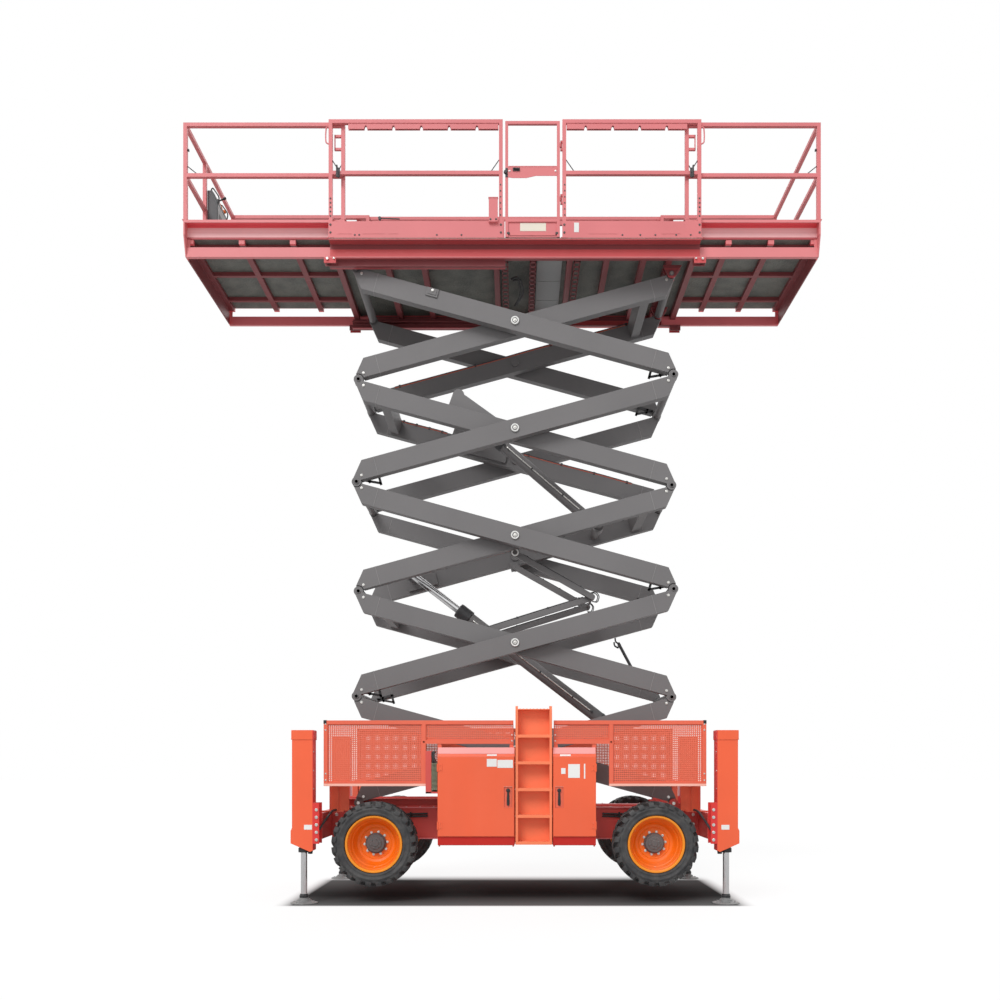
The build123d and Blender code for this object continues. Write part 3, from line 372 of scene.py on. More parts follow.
# where the painted shadow on the floor fades out: X from the machine's middle, then Y of both edges
SHADOW_X, SHADOW_NEAR_Y, SHADOW_FAR_Y = (2.20, 2.40), (-1.36, -1.27), (0.85, 1.40)
SHADOW_DARKEST = 0.040


def floor_finish(name):
    """White studio floor with a painted shadow under the machine and out to its feet, made darker still by
    painted occlusion shade.
    """
    material, tree, shader = new_material(name)
    tree.nodes.remove(shader)
    place = new_node(tree, "SeparateXYZ", {0: new_node(tree, "TexCoord").outputs["Object"]}).outputs
    across = math_node(tree, "ABSOLUTE", math_node(tree, "SUBTRACT", place["X"], STACK_X))
    depth = place["Y"]
    # painted shadow: a mask that is 1 under the machine and fades to 0 at its edges
    patch = map_range(tree, across, *SHADOW_X, 1, 0)
    patch = math_node(tree, "MULTIPLY", patch, map_range(tree, depth, *SHADOW_NEAR_Y, 0, 1))
    patch = math_node(tree, "MULTIPLY", patch, map_range(tree, depth, *SHADOW_FAR_Y, 1, 0))
    # the painted shadow's tone: darkest under the middle, lighter towards both edges
    near_tone = map_range(tree, depth, -1.30, -0.55, 0.16, SHADOW_DARKEST)
    far_tone = map_range(tree, depth, -0.30, 1.00, SHADOW_DARKEST, 0.130)
    tone = math_node(tree, "MAXIMUM", near_tone, far_tone)
    # painted shade: ambient occlusion darkens the painted shadow further where the machine is close above
    cover = new_node(tree, "AmbientOcclusion", {"Distance": 0.6})
    cover.samples = 8
    tone = math_node(tree, "MULTIPLY", tone, map_range(tree, cover.outputs["AO"], 0.3, 0.95, 0.5, 1))
    shade = mix_colour(tree, tone, (0, 0, 0, 1), (1, 1, 1, 1))
    seen = new_node(tree, "BsdfDiffuse", {"Color": mix_colour(tree, patch, (1, 1, 1, 1), shade)})
    unseen = new_node(tree, "BsdfDiffuse", {"Color": (0.55, 0.55, 0.55, 1)})
    white = new_node(tree, "Emission")
    # outside the painted shadow the floor glows evenly white
    glow = math_node(tree, "MULTIPLY", math_node(tree, "SUBTRACT", 1, patch), 0.85)
    lit = new_node(tree, "MixShader", {"Fac": glow, 1: seen.outputs[0], 2: white.outputs[0]})
    camera_ray = new_node(tree, "LightPath").outputs["Is Camera Ray"]
    choose = new_node(tree, "MixShader", {"Fac": camera_ray, 1: unseen.outputs[0], 2: lit.outputs[0]})
    feed(tree, tree.nodes["Material Output"], {"Surface": choose.outputs[0]})
    return material


# ---------------------------------------------------------------- colours and finishes
# painted shade: the first two colours are the platform's red paint darkened where it stands in shade, under
# the deck and under lips; the third is the outrigger housings' own red
SHADE_MAROON, SHADE_DARK_RED, PLATE_RED = (0.25, 0.055, 0.06), (0.46, 0.075, 0.085), (0.74, 0.040, 0.036)
BEAM_END_RED = (0.88, 0.050, 0.055)
# painted highlights: paler pinks for the lit lower edge of the deck beam and the lit face of the roll-outs'
# curb
HIGHLIGHT_PINK, LIT_PALE_PINK = (0.74, 0.25, 0.26), (1.0, 0.56, 0.57)
GUARD_FOOT_Z = 1.184  # a painted highlight: a pale line along the guards' lowest rail
# painted shade and light: a saturated red for the shaded recesses of the roll-outs' curb, and a pale orange
# highlight along the guards' lowest rail
RECESS_SHADE_RED, HIGHLIGHT_ORANGE = (0.95, 0.13, 0.155), (1.0, 0.55, 0.45)
# paint zones: colour, then limits of (direction, place, low, high)
# the deck beam: painted shade in maroon on the inner members under the deck, with dark red bands on them, a
# painted shadow under the toe board's overhang, and a painted highlight along the lower flange's outer edge
BEAM_ZONES = (
    (SHADE_MAROON, ((Y, 0, 0, 0.79),)),
    (SHADE_DARK_RED, ((Y, 0, 0, 0.72), (Z, 6.661, 0, 0.006))),
    (SHADE_DARK_RED, ((Y, 0, 0, 0.72), (Z, 6.560, 0, 0.028))),
    (SHADE_MAROON, ((Z, 6.742, 0, 0.026),)),
    (HIGHLIGHT_PINK, ((Y, 0, 0.80, 0.84), (Z, 6.636, 0, 0.005))),
)
# the roll-out frames: painted shade on the inner members, in the recess and under the curb's top lip, a dark
# red line of painted shadow under the curb's band, and a pale painted highlight on the band's face
ROLLOUT_ZONES = (
    (SHADE_MAROON, ((Y, 0, 0, 0.735),)),
    (RECESS_SHADE_RED, ((Y, 0, 0.735, 0.7645),)),
    (RECESS_SHADE_RED, ((Y, 0, 0.7655, 0.862), (Z, 6.976, 0, 0.014))),
    (SHADE_DARK_RED, ((Y, 0, 0.7655, 0.862), (Z, 6.853, 0, 0.012))),
    (LIT_PALE_PINK, ((Y, 0, 0.7655, 0.7800), (Z, 6.9135, 0, 0.0485))),
)
FINISH = {
    "cover_orange": painted("cover_orange", (0.90, 0.135, 0.052), (0.95, 0.35, 0.2), 0.38),
    "guard_orange": painted(
        "guard_orange", (0.84, 0.15, 0.082), (0.9, 0.35, 0.2), 0.42,
        # painted highlight along the lowest rail
        zones=((HIGHLIGHT_ORANGE, ((Z, GUARD_FOOT_Z, 0, 0.014),)),),
    ),
    "chassis_red": painted(
        "chassis_red", (0.66, 0.082, 0.070), (0.8, 0.25, 0.2), 0.4, dust=0.3,
        zones=((BEAM_END_RED, ((X, STACK_X, 1.955, 2.500),)),),
    ),
    # red paint partly painted light: paled to pink as painted haze and light on the platform, gate, roll-out
    # bars and frame cap strips
    "platform_red": painted("platform_red", (0.74, 0.205, 0.215), (0.85, 0.45, 0.45), 0.45),
    # the deck beam keeps the paint's own red, with painted shade and highlights in its zones
    "beam_red": painted("beam_red", (0.62, 0.080, 0.085), (0.75, 0.3, 0.3), 0.45, zones=BEAM_ZONES),
    # red paint partly painted light: the roll-out frames' red paled to pink as painted haze and light
    "rollout_lit_pink": painted("rollout_lit_pink", (0.78, 0.24, 0.25), (0.85, 0.45, 0.45), 0.45, zones=ROLLOUT_ZONES),
    "housing_orange": painted(
        "housing_orange", (0.92, 0.135, 0.05), (0.95, 0.35, 0.2), 0.38,
        zones=((PLATE_RED, ((X, STACK_X, 0, 2.021),)),),
    ),
    # painted light: the covers' orange made brighter on the ladder, to paint out the shade in its recesses
    "ladder_lit_orange": painted("ladder_lit_orange", (1.0, 0.24, 0.105), (1.0, 0.35, 0.2), 0.42),
    "sill_red": painted("sill_red", (0.64, 0.022, 0.014), (0.7, 0.15, 0.1), 0.48, dust=0.05),
    # painted light: the rim's orange paint, paler and yellower on the lip where it faces the light
    "lit_rim_lip": painted("lit_rim_lip", (0.95, 0.30, 0.012), (0.95, 0.5, 0.15), 0.34),
    "arm_grey": painted("arm_grey", (0.175, 0.168, 0.17), (0.4, 0.4, 0.4), 0.5, 0.5, 0.25, (0.3, 0.29, 0.28)),
    # the rim's orange paint, made redder on the dish as painted shade in its deep bowl; the control buttons
    # use this orange too
    "rim_orange": painted("rim_orange", (0.95, 0.175, 0.005), (0.95, 0.4, 0.1), 0.36),
    "black": painted("black", (0.018, 0.018, 0.02), (0.2, 0.2, 0.2), 0.45),
    "iron": painted("iron", (0.11, 0.10, 0.10), (0.3, 0.3, 0.3), 0.55, dust=0.35),
    "white": painted("white", (0.86, 0.86, 0.84), (0.7, 0.7, 0.7), 0.5),
    "box_grey": painted("box_grey", (0.10, 0.105, 0.11), (0.3, 0.3, 0.3), 0.5),
    "chrome": metal("chrome", (0.78, 0.78, 0.79), 0.12, (6, 6, 0.4)),
    "zinc": metal("zinc", (0.72, 0.71, 0.68), 0.32),
    "tyre": rubber("tyre", (0.032, 0.032, 0.034), (0.13, 0.126, 0.12)),
    "hose": rubber("hose", (0.03, 0.03, 0.032), (0.1, 0.1, 0.1)),
    "hose_orange": painted("hose_orange", (0.62, 0.10, 0.05), (0.7, 0.2, 0.1), 0.5),
    # painted light: the cabinets' orange paint paled to pink on the lids, where their tops and slopes face
    # the sky
    "lid_lit_pink": painted("lid_lit_pink", (0.90, 0.36, 0.34), (0.95, 0.6, 0.55), 0.42),
    "weld": painted("weld", (0.26, 0.25, 0.25), (0.4, 0.4, 0.4), 0.5),
    "dark_steel": painted("dark_steel", (0.045, 0.045, 0.048), (0.25, 0.25, 0.25), 0.45),
    "foot_grey": painted("foot_grey", (0.20, 0.20, 0.20), (0.5, 0.5, 0.5), 0.5, 0.5, 0.3),
    "core_green": painted("core_green", (0.33, 0.37, 0.25), (0.5, 0.5, 0.4), 0.6, dust=0.3),
    # painted shade: the beam's red darkened for the channels that hang in shade under the deck
    "beam_shade_dark": painted("beam_shade_dark", (0.22, 0.045, 0.05), (0.4, 0.15, 0.15), 0.5, dust=0.3),
    "plate_grey": painted("plate_grey", (0.33, 0.34, 0.34), (0.5, 0.5, 0.5), 0.5),
    "cream": painted("cream", (0.85, 0.78, 0.66), (0.8, 0.75, 0.65), 0.5),
    "deck_grey": deck_plate("deck_grey"),
}


# ---------------------------------------------------------------- mesh helpers
class Fitting:
    """Small shapes joined into one mesh, placed by one matrix."""

    def __init__(self, place=None):
        self.bm = bmesh.new()
        self.place = place or Matrix.Identity(4)

    def block(self, x, y, z, turn=None):
        """A box between pairs of faces, turned about its middle if asked."""
        middle = Vector([(a + b) / 2 for a, b in (x, y, z)])
        size = [abs(b - a) for a, b in (x, y, z)]
        matrix = Matrix.Translation(middle) @ (turn or Matrix.Identity(4)) @ Matrix.Diagonal((*size, 1))
        bmesh.ops.create_cube(self.bm, size=1, matrix=self.place @ matrix)

    def rod(self, radius, start, end, sides=20, end_radius=None):
        """A round bar, or a cone with a second radius."""
        start, end = Vector(start), Vector(end)
        axis = end - start
        bmesh.ops.create_cone(
            self.bm,
            cap_ends=True,
            segments=sides,
            radius1=radius,
            radius2=radius if end_radius is None else end_radius,
            depth=axis.length,
            matrix=self.place @ aimed((start + end) / 2, axis),
        )

    def peg(self, radius, at, out, low, high, sides=20, end_radius=None):
        """A round bar along a direction, from one distance off a point to another."""
        start, end = ([a + b * far for a, b in zip(at, out)] for far in (low, high))
        self.rod(radius, start, end, sides, end_radius)

    def bolt(self, at, out, size, washer=True):
        """A hexagon head on a washer; size is the head's radius."""
        at, out = Vector(at), Vector(out).normalized()
        if washer:
            self.rod(size * 1.25, at, at + out * size * 0.25, 16)
        self.rod(size, at, at + out * size * 0.9, 6)

    def lathe(self, profile, centre, axis, steps=64):
        """A closed profile of (radius, along) pairs turned about an axis."""
        turn = aimed(centre, axis)
        rings = []
        for across, up in circle(steps):
            ring = [(r * across, r * up, a) for r, a in profile]
            rings.append([self.bm.verts.new(self.place @ turn @ Vector(p)) for p in ring])
        for step in range(steps):
            here, after = rings[step], rings[(step + 1) % steps]
            for n in range(len(profile)):
                m = (n + 1) % len(profile)
                self.bm.faces.new((here[n], after[n], after[m], here[m]))

    def skin(self, rings):
        """Faces from ring to ring of vertices, closed at both ends."""
        count = len(rings[0])
        for here, after in zip(rings, rings[1:]):
            for n in range(count):
                m = (n + 1) % count
                self.bm.faces.new((here[n], here[m], after[m], after[n]))
        self.bm.faces.new(rings[0][::-1])
        self.bm.faces.new(rings[-1])

    def pipe(self, points, radius, sides=10):
        """A hose or bent bar through points, rounded at its bends."""
        points = [Vector(p) for p in points]
        path = [points[0]]
        for before, here, after in zip(points, points[1:], points[2:]):
            reach = min((here - before).length, (after - here).length) * 0.45
            enter = here + (before - here).normalized() * reach
            leave = here + (after - here).normalized() * reach
            for step in range(5):
                t = step / 4
                path.append(enter * (1 - t) ** 2 + here * 2 * t * (1 - t) + leave * t**2)
        path.append(points[-1])
        rings, side = [], None
        for n, point in enumerate(path):
            along = (path[min(n + 1, len(path) - 1)] - path[max(n - 1, 0)]).normalized()
            side = along.orthogonal() if side is None else side - along * side.dot(along)
            side.normalize()
            across = along.cross(side)
            ring = [point + (side * a + across * b) * radius for a, b in circle(sides)]
            rings.append([self.bm.verts.new(self.place @ place) for place in ring])
        self.skin(rings)

    def hull(self, low, high):
        """A solid between two outlines with the same number of points."""
        bottom = [self.bm.verts.new(self.place @ Vector(p)) for p in low]
        top = [self.bm.verts.new(self.place @ Vector(p)) for p in high]
        self.bm.faces.new(bottom[::-1])
        self.bm.faces.new(top)
        for n in range(len(bottom)):
            m = (n + 1) % len(bottom)
            self.bm.faces.new((bottom[n], bottom[m], top[m], top[n]))

    def slab(self, outline, y0, y1):
        """A solid with one outline of (X, Z) between two places along Y."""
        self.hull(*[[(x, y, z) for x, z in outline] for y in (y0, y1)])

    def piece(self, name, body, finish, replaces=(), bevel=0.0, smooth=35):
        """Makes the object, gives it its finish and lets it ride on its body."""
        bmesh.ops.recalc_face_normals(self.bm, faces=self.bm.faces)
        mesh = bpy.data.meshes.new(name)
        self.bm.to_mesh(mesh)
        self.bm.free()
        mesh.shade_smooth()
        mesh.set_sharp_from_angle(angle=math.radians(smooth))
        made = bpy.data.objects.new(name, mesh)
        bpy.context.scene.collection.objects.link(made)
        made.data.materials.append(FINISH[finish])
        if bevel:
            rounding = made.modifiers.new("rounding", "BEVEL")
            rounding.width = bevel
            rounding.segments = 2
            rounding.limit_method = "ANGLE"
        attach(made, body)
        if replaces:
            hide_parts(*replaces)
        return made


def fittings(count, place=None):
    """Several empty fittings."""
    return [Fitting(place) for _ in range(count)]


def shifted(at, points):
    """Points that are given from a place."""
    return [[a + b for a, b in zip(at, point)] for point in points]


def at_corner(x, end, side, points):
    """Points at one corner of the machine: X from a place towards an end, Y outwards, Z."""
    return [(x + end * a, side * b, c) for a, b, c in points]


# ---------------------------------------------------------------- finishes of the CAD nodes
def finish_of(node):
    """The finish that a CAD node shows."""
    if "arm_" in node or node.startswith("hose_link") or node.endswith("barrel"):
        return "arm_grey"
    if node.endswith("cylinder_rod") or node.startswith("outrigger_leg"):
        return "chrome"
    if node.startswith("tyre"):
        return "tyre"
    if node.startswith("rim"):
        return "rim_orange"
    if node.endswith("floor"):
        return "deck_grey"
    if node == "platform_frame":
        return "beam_red"
    if node.endswith("extension_frame"):
        return "rollout_lit_pink"
    if node.startswith(("platform", "front_ext", "rear_ext", "gate")):
        return "platform_red"
    if node == "access_ladder":
        return "ladder_lit_orange"
    if node == "outrigger_housings":
        return "housing_orange"
    if node == "side_pods" or "_door_" in node:
        return "cover_orange"
    if node.startswith("guard"):
        return "guard_orange"
    if node == "control_box":
        return "box_grey"
    if node in ("engine_block", "cooler") or node.startswith("steering"):
        return "iron"
    return "chassis_red"


def finish_cad_nodes():
    """Gives every carried-over CAD node its finish."""
    for name, node in frame["nodes"].items():
        node.data.materials.clear()
        node.data.materials.append(FINISH[finish_of(name)])


# ---------------------------------------------------------------- wheels
LUGS = 24
# half of a tyre's side wall: radius, and how far out as a share of half its width
TYRE_WALL = (
    (0.292, 0.86), (0.298, 0.93), (0.310, 0.955), (0.318, 0.955), (0.322, 0.935), (0.345, 0.945),
    (0.350, 0.965), (0.358, 0.965), (0.362, 0.945), (0.382, 0.93), (0.392, 0.86),
)
# along one lug: share of half the width, height against the tread, lead in lug pitches
LUG_STATIONS = (
    (1.0, -0.046, 0.0), (0.985, -0.022, 0.0), (0.90, -0.004, 0.02), (0.55, 0, 0.25), (0.02, 0, 0.62)
)
# path of the valve's stem from the wheel's centre: Y outwards, Z
VALVE = ((-0.02, -0.235), (0.02, -0.239), (0.05, -0.235))
# profiles of (radius, out from the hub cap's face)
RIM_DISH = (
    (0.0, -0.052), (0.150, -0.052), (0.158, -0.046), (0.166, -0.050), (0.190, -0.042), (0.204, -0.026),
    (0.212, 0.000), (0.226, 0.036), (0.232, 0.040), (0.250, 0.092), (0.256, 0.096), (0.262, 0.118),
    (0.262, -0.112), (0.250, -0.03), (0.215, -0.055), (0.150, -0.0595), (0.0, -0.0595),
)
RIM_LIP = (
    (0.2615, 0.116), (0.264, 0.128), (0.270, 0.135), (0.279, 0.137), (0.287, 0.136), (0.2895, 0.128),
    (0.2895, -0.128), (0.278, -0.137), (0.2615, -0.112),
)
HUB_CAP = (
    (0.0, 0.016), (0.03, 0.016), (0.034, 0.010), (0.06, 0.008), (0.066, 0.002), (0.088, 0.0),
    (0.094, -0.006), (0.094, -0.03), (0.105, -0.034), (0.105, -0.052), (0.0, -0.052),
)


def wheels():
    """Each wheel's name and side, the box of its tyre, its centre and the way out."""
    for end in ENDS:
        for name, side in SIDES.items():
            low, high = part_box(f"tyre_{end}_{name}")
            yield f"{end}_{name}", side, low, high, (low + high) / 2, Vector((0, side, 0))


def make_tyres():
    """Carcass with a ribbed side wall and two rows of slanted lugs."""
    pitch = 2 * math.pi / LUGS
    for name, _, low, high, centre, out in wheels():
        outer, half = (high.z - low.z) / 2, (high.y - low.y) / 2
        tyre = Fitting()
        tread = ((outer - 0.028, 0.5), (outer - 0.026, 0), (outer - 0.028, -0.5))
        outline = (*TYRE_WALL, *tread, *((r, -a) for r, a in reversed(TYRE_WALL)))
        tyre.lathe([(r, a * half) for r, a in outline], centre, out, 96)
        turn = aimed(centre, out)
        for row in (-1, 1):
            for lug in range(LUGS):
                start = (lug + (0.5 if row > 0 else 0)) * pitch
                rings = []
                for across, drop, lead in LUG_STATIONS:
                    width = pitch * (0.27 if across > 0.5 else 0.24)
                    root, crest = outer - 0.05, outer + drop
                    ring = []
                    for r, a in ((root, -1.15), (crest, -0.9), (crest, 0.9), (root, 1.15)):
                        angle = start + lead * pitch + a * width
                        place = (r * math.cos(angle), r * math.sin(angle), row * across * half)
                        ring.append(tyre.bm.verts.new(turn @ Vector(place)))
                    rings.append(ring)
                tyre.skin(rings)
        tyre.piece(f"lugged_tyre_{name}", f"wheel_{name}", "tyre", (f"tyre_{name}",), smooth=40)


def make_rims():
    """Deep dished wheels with a rolled lip, a hub cap and ten nuts."""
    for name, side, _, _, centre, out in wheels():
        body = f"wheel_{name}"
        lip, rim, hub, nuts = fittings(4)
        lip.lathe(RIM_LIP, centre, out, 80)
        rim.lathe(RIM_DISH, centre, out, 80)
        hub.lathe(HUB_CAP, centre, out, 48)
        for x, z in circle(6, 0.045, 0.3):
            hub.bolt(centre + Vector((x, side * 0.008, z)), out, 0.007)
        for x, z in circle(10, 0.117, 0.1):
            at = centre + Vector((x, -side * 0.052, z))
            nuts.bolt(at, out, 0.011)
            nuts.rod(0.006, at, at + out * 0.022, 10)
        nuts.pipe([centre + Vector((0, side * y, z)) for y, z in VALVE], 0.004, 8)
        # painted light on the lip, painted shade on the dish
        lip.piece(f"lit_rim_lip_{name}", body, "lit_rim_lip", smooth=28)
        rim.piece(f"dished_rim_{name}", body, "rim_orange", (f"rim_{name}",), smooth=28)
        hub.piece(f"wheel_hub_{name}", body, "iron", smooth=30)
        nuts.piece(f"wheel_nuts_{name}", body, "zinc", smooth=30)


# ---------------------------------------------------------------- guards
# X from the machine's middle; the Z of a rail is its underside
HOLE_PITCH, HOLE = 0.020, 0.008
GUARD_Y, GUARD_TUBE, GUARD_HALF = 1.050, 0.040, 0.017
GUARD_BOTTOM, GUARD_MID, GUARD_END = 1.174, 1.600, 1.930
CABINET_PANELS = (-0.900, 0.950)  # the shallow panels over the cabinets, between the deep ones
GUARD_SHEETS = ((-1.89, -0.94), (0.99, 1.89))
LADDER_GAP = (-0.015, 0.391)
GUARD_FEET = (-0.780, -0.055, 0.391, 0.780)
GUARD_POSTS, POST_WIDTH, POST_Y = (1.785, 1.865), 0.068, (0.690, 0.740)


def perforated(sheet, x0, x1, z0, z1, y):
    """A sheet with square holes, as crossed strips."""
    strip = HOLE_PITCH - HOLE
    count = max(2, round((x1 - x0) / HOLE_PITCH))
    for n in range(count + 1):
        x = x0 + (x1 - x0 - strip) * n / count
        sheet.block((x, x + strip), around(y, 0.0008), (z0, z1))
    count = max(2, round((z1 - z0) / HOLE_PITCH))
    for n in range(count + 1):
        z = z0 + (z1 - z0 - strip) * n / count
        sheet.block((x0, x1), around(y, 0.001), (z, z + strip))


def clear_of_ladder(side, a, b):
    """A length along X, with a gap for the ladder on the near side."""
    return ((a, LADDER_GAP[0]), (LADDER_GAP[1], b)) if side < 0 else ((a, b),)


def guard_bars(bars, side, low, high):
    """One side's rails, stiles, feet on the cabinets and posts on the outrigger beams."""
    y = side * GUARD_Y
    inset = 0.0006  # keeps the faces of crossing tubes apart

    def across(a, b, z):
        ends = from_middle(a + inset, b - inset)
        bars.block(ends, (y - GUARD_HALF + inset, y + GUARD_HALF - inset), (z, z + GUARD_TUBE))

    def upright(x, z0, z1, half=GUARD_HALF):
        bars.block(from_middle(x, x + GUARD_TUBE), (y - half, y + half), (z0, z1))

    for a, b in clear_of_ladder(side, -GUARD_END, GUARD_END):
        across(a, b, high.z - GUARD_TUBE)
        across(max(a, CABINET_PANELS[0]), min(b, CABINET_PANELS[1]), GUARD_MID)
    for a, b in ((-GUARD_END, CABINET_PANELS[0]), (CABINET_PANELS[1], GUARD_END)):
        across(a, b, GUARD_BOTTOM)
        for x in (a, b - GUARD_TUBE):
            upright(x, GUARD_BOTTOM + inset, high.z - inset)
    for x in GUARD_FEET:
        upright(x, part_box("side_pods")[1].z, GUARD_MID + 0.001, 0.010)
    post_y = (side * POST_Y[0], side * POST_Y[1])
    for end in ENDS.values():
        for post in GUARD_POSTS:
            x = from_middle(end * post, end * (post + POST_WIDTH))
            bars.block(x, post_y, (low.z + 0.012, GUARD_BOTTOM + inset))
            bars.block(x, (post_y[0], y), (GUARD_BOTTOM + inset, GUARD_BOTTOM + 0.030))
        x = from_middle(end * (GUARD_POSTS[0] - 0.005), end * 2.045)
        bars.block(x, (side * 0.685, side * 0.755), (low.z, low.z + 0.012))


def make_guards():
    """Guard bars and perforated sheets, over the cabinets too, with caps and bolts."""
    low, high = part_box("guard_frames")
    inside = high.z - GUARD_TUBE
    bars, sheet, caps, bolts = fittings(4)
    for side in SIDES.values():
        y = side * GUARD_Y
        face, out = y + side * GUARD_HALF, (0, side, 0)
        guard_bars(bars, side, low, high)
        for a, b in GUARD_SHEETS:
            perforated(sheet, *from_middle(a, b), GUARD_BOTTOM + GUARD_TUBE, inside, y)
        for a, b in clear_of_ladder(side, *CABINET_PANELS):
            perforated(sheet, *from_middle(a, b), GUARD_MID + GUARD_TUBE, inside, y)
        for end in ENDS.values():
            x = STACK_X + end * GUARD_END
            caps.block(
                (x + end * 0.002, x - end * 0.030), around(y, 0.019), (high.z - 0.034, high.z + 0.003)
            )
            for z in (1.235, 1.74, 1.30, 1.80):
                bolts.bolt((x - end * 0.02, face, z), out, 0.007)
            for post in (-0.92, 0.97):
                bolts.bolt((STACK_X + post, face, 1.62), out, 0.007)
        for x in (-0.030, 0.406) if side < 0 else ():
            for z in (1.63, 1.69, 1.78):
                bolts.bolt((STACK_X + x, face, z), out, 0.006)
    bars.piece("guard_bars", "chassis", "guard_orange", ("guard_frames",))
    sheet.piece("perforated_guards", "chassis", "guard_orange", ("guard_meshes",))
    caps.piece("guard_corner_caps", "chassis", "black", bevel=0.003)
    bolts.piece("guard_bolts", "chassis", "zinc", smooth=30)


# ---------------------------------------------------------------- cabinets, doors, ladder
# X from the machine's middle; a profile is (Y outwards, Z)
POD_ENDS = ((-0.777, -0.003), (0.379, 0.813))
LID = ((1.079, 1.5605), (1.1070, 1.4985), (1.1095, 1.4995), (1.0815, 1.564), (0.705, 1.564), (0.705, 1.5605))
GUTTER = ((1.1195, 1.462), (1.1240, 1.462), (1.1240, 1.470), (1.1195, 1.4735))
SILL = ((1.1005, 0.583), (1.1205, 0.668), (1.1225, 0.668), (1.1025, 0.582))
DOOR_FACE_Y, DOOR_BACK_Y, RECESS_DEPTH = 1.140, 1.1202, 0.0075
# the slope between a lid and the doors: Y and Z of its foot, and Y inwards for each metre up
SLOPE_Y, SLOPE_Z, SLOPE_LEAN = 1.1175, 1.467, 0.4255
HINGE_Z = (0.780, 1.360)
LATCHES = {"front": (-0.108, -0.030), "rear": (0.404, 0.482)}
LATCH_Z, LATCH_BOSS_Z = (0.962, 1.168), 1.132
# outline of a latch's grip: X from its middle, Z
GRIP = (
    (-0.010, 1.12), (0.010, 1.12), (0.015, 1.02), (0.013, 0.985),
    (0.0, 0.976), (-0.013, 0.985), (-0.015, 1.02),
)
# blank plates on the near doors: X, Z
DOOR_PLATES = {
    "front": (((-0.282, -0.182), (1.370, 1.448)), ((-0.176, -0.020), (1.358, 1.438))),
    "rear": (
        ((0.462, 0.506), (1.298, 1.356)),
        ((0.532, 0.650), (1.258, 1.396)),
        ((0.690, 0.704), (1.250, 1.400)),
    ),
}


def make_cabinets():
    """Lids with a turned-down lip, dark sills, rain gutters and blank plates on the cabinets."""
    lids, sills, plates, trims = fittings(4)
    for side in SIDES.values():
        for a, b in POD_ENDS if side < 0 else ((POD_ENDS[0][0], POD_ENDS[1][1]),):
            x0, x1 = STACK_X + a + 0.003, STACK_X + b - 0.003
            for piece, profile, over in ((lids, LID, 0), (trims, GUTTER, 0), (sills, SILL, 0.002)):
                piece.hull(*[[(x, side * y, z) for y, z in profile] for x in (x0 - over, x1 + over)])
            sills.block((x0, x1), (side * 0.98, side * 1.1), (0.5795, 0.5825))
            for x in (x0 + 0.012, x1 - 0.012):
                trims.peg(0.008, (x, side * 1.08, 0), Z, 0.566, 0.584, 12)
    # two small plates on the slope between a lid and the doors
    for a, b, *heights in ((-0.282, -0.182, 1.478, 1.494), (0.452, 0.560, 1.476, 1.494)):
        (low_y, z0), (high_y, z1) = [(SLOPE_Y - (z - SLOPE_Z) * SLOPE_LEAN, z) for z in heights]
        outline = ((low_y, z0), (low_y + 0.0035, z0), (high_y + 0.0035, z1), (high_y, z1))
        plates.hull(*[[(STACK_X + x, -y, z) for y, z in outline] for x in (a, b)])
    # the lids are painted pale as painted light
    lids.piece("cabinet_lids", "chassis", "lid_lit_pink")
    sills.piece("cabinet_sills", "chassis", "sill_red")
    trims.piece("cabinet_gutters", "chassis", "guard_orange")
    plates.piece("cabinet_blank_plates", "chassis", "white")


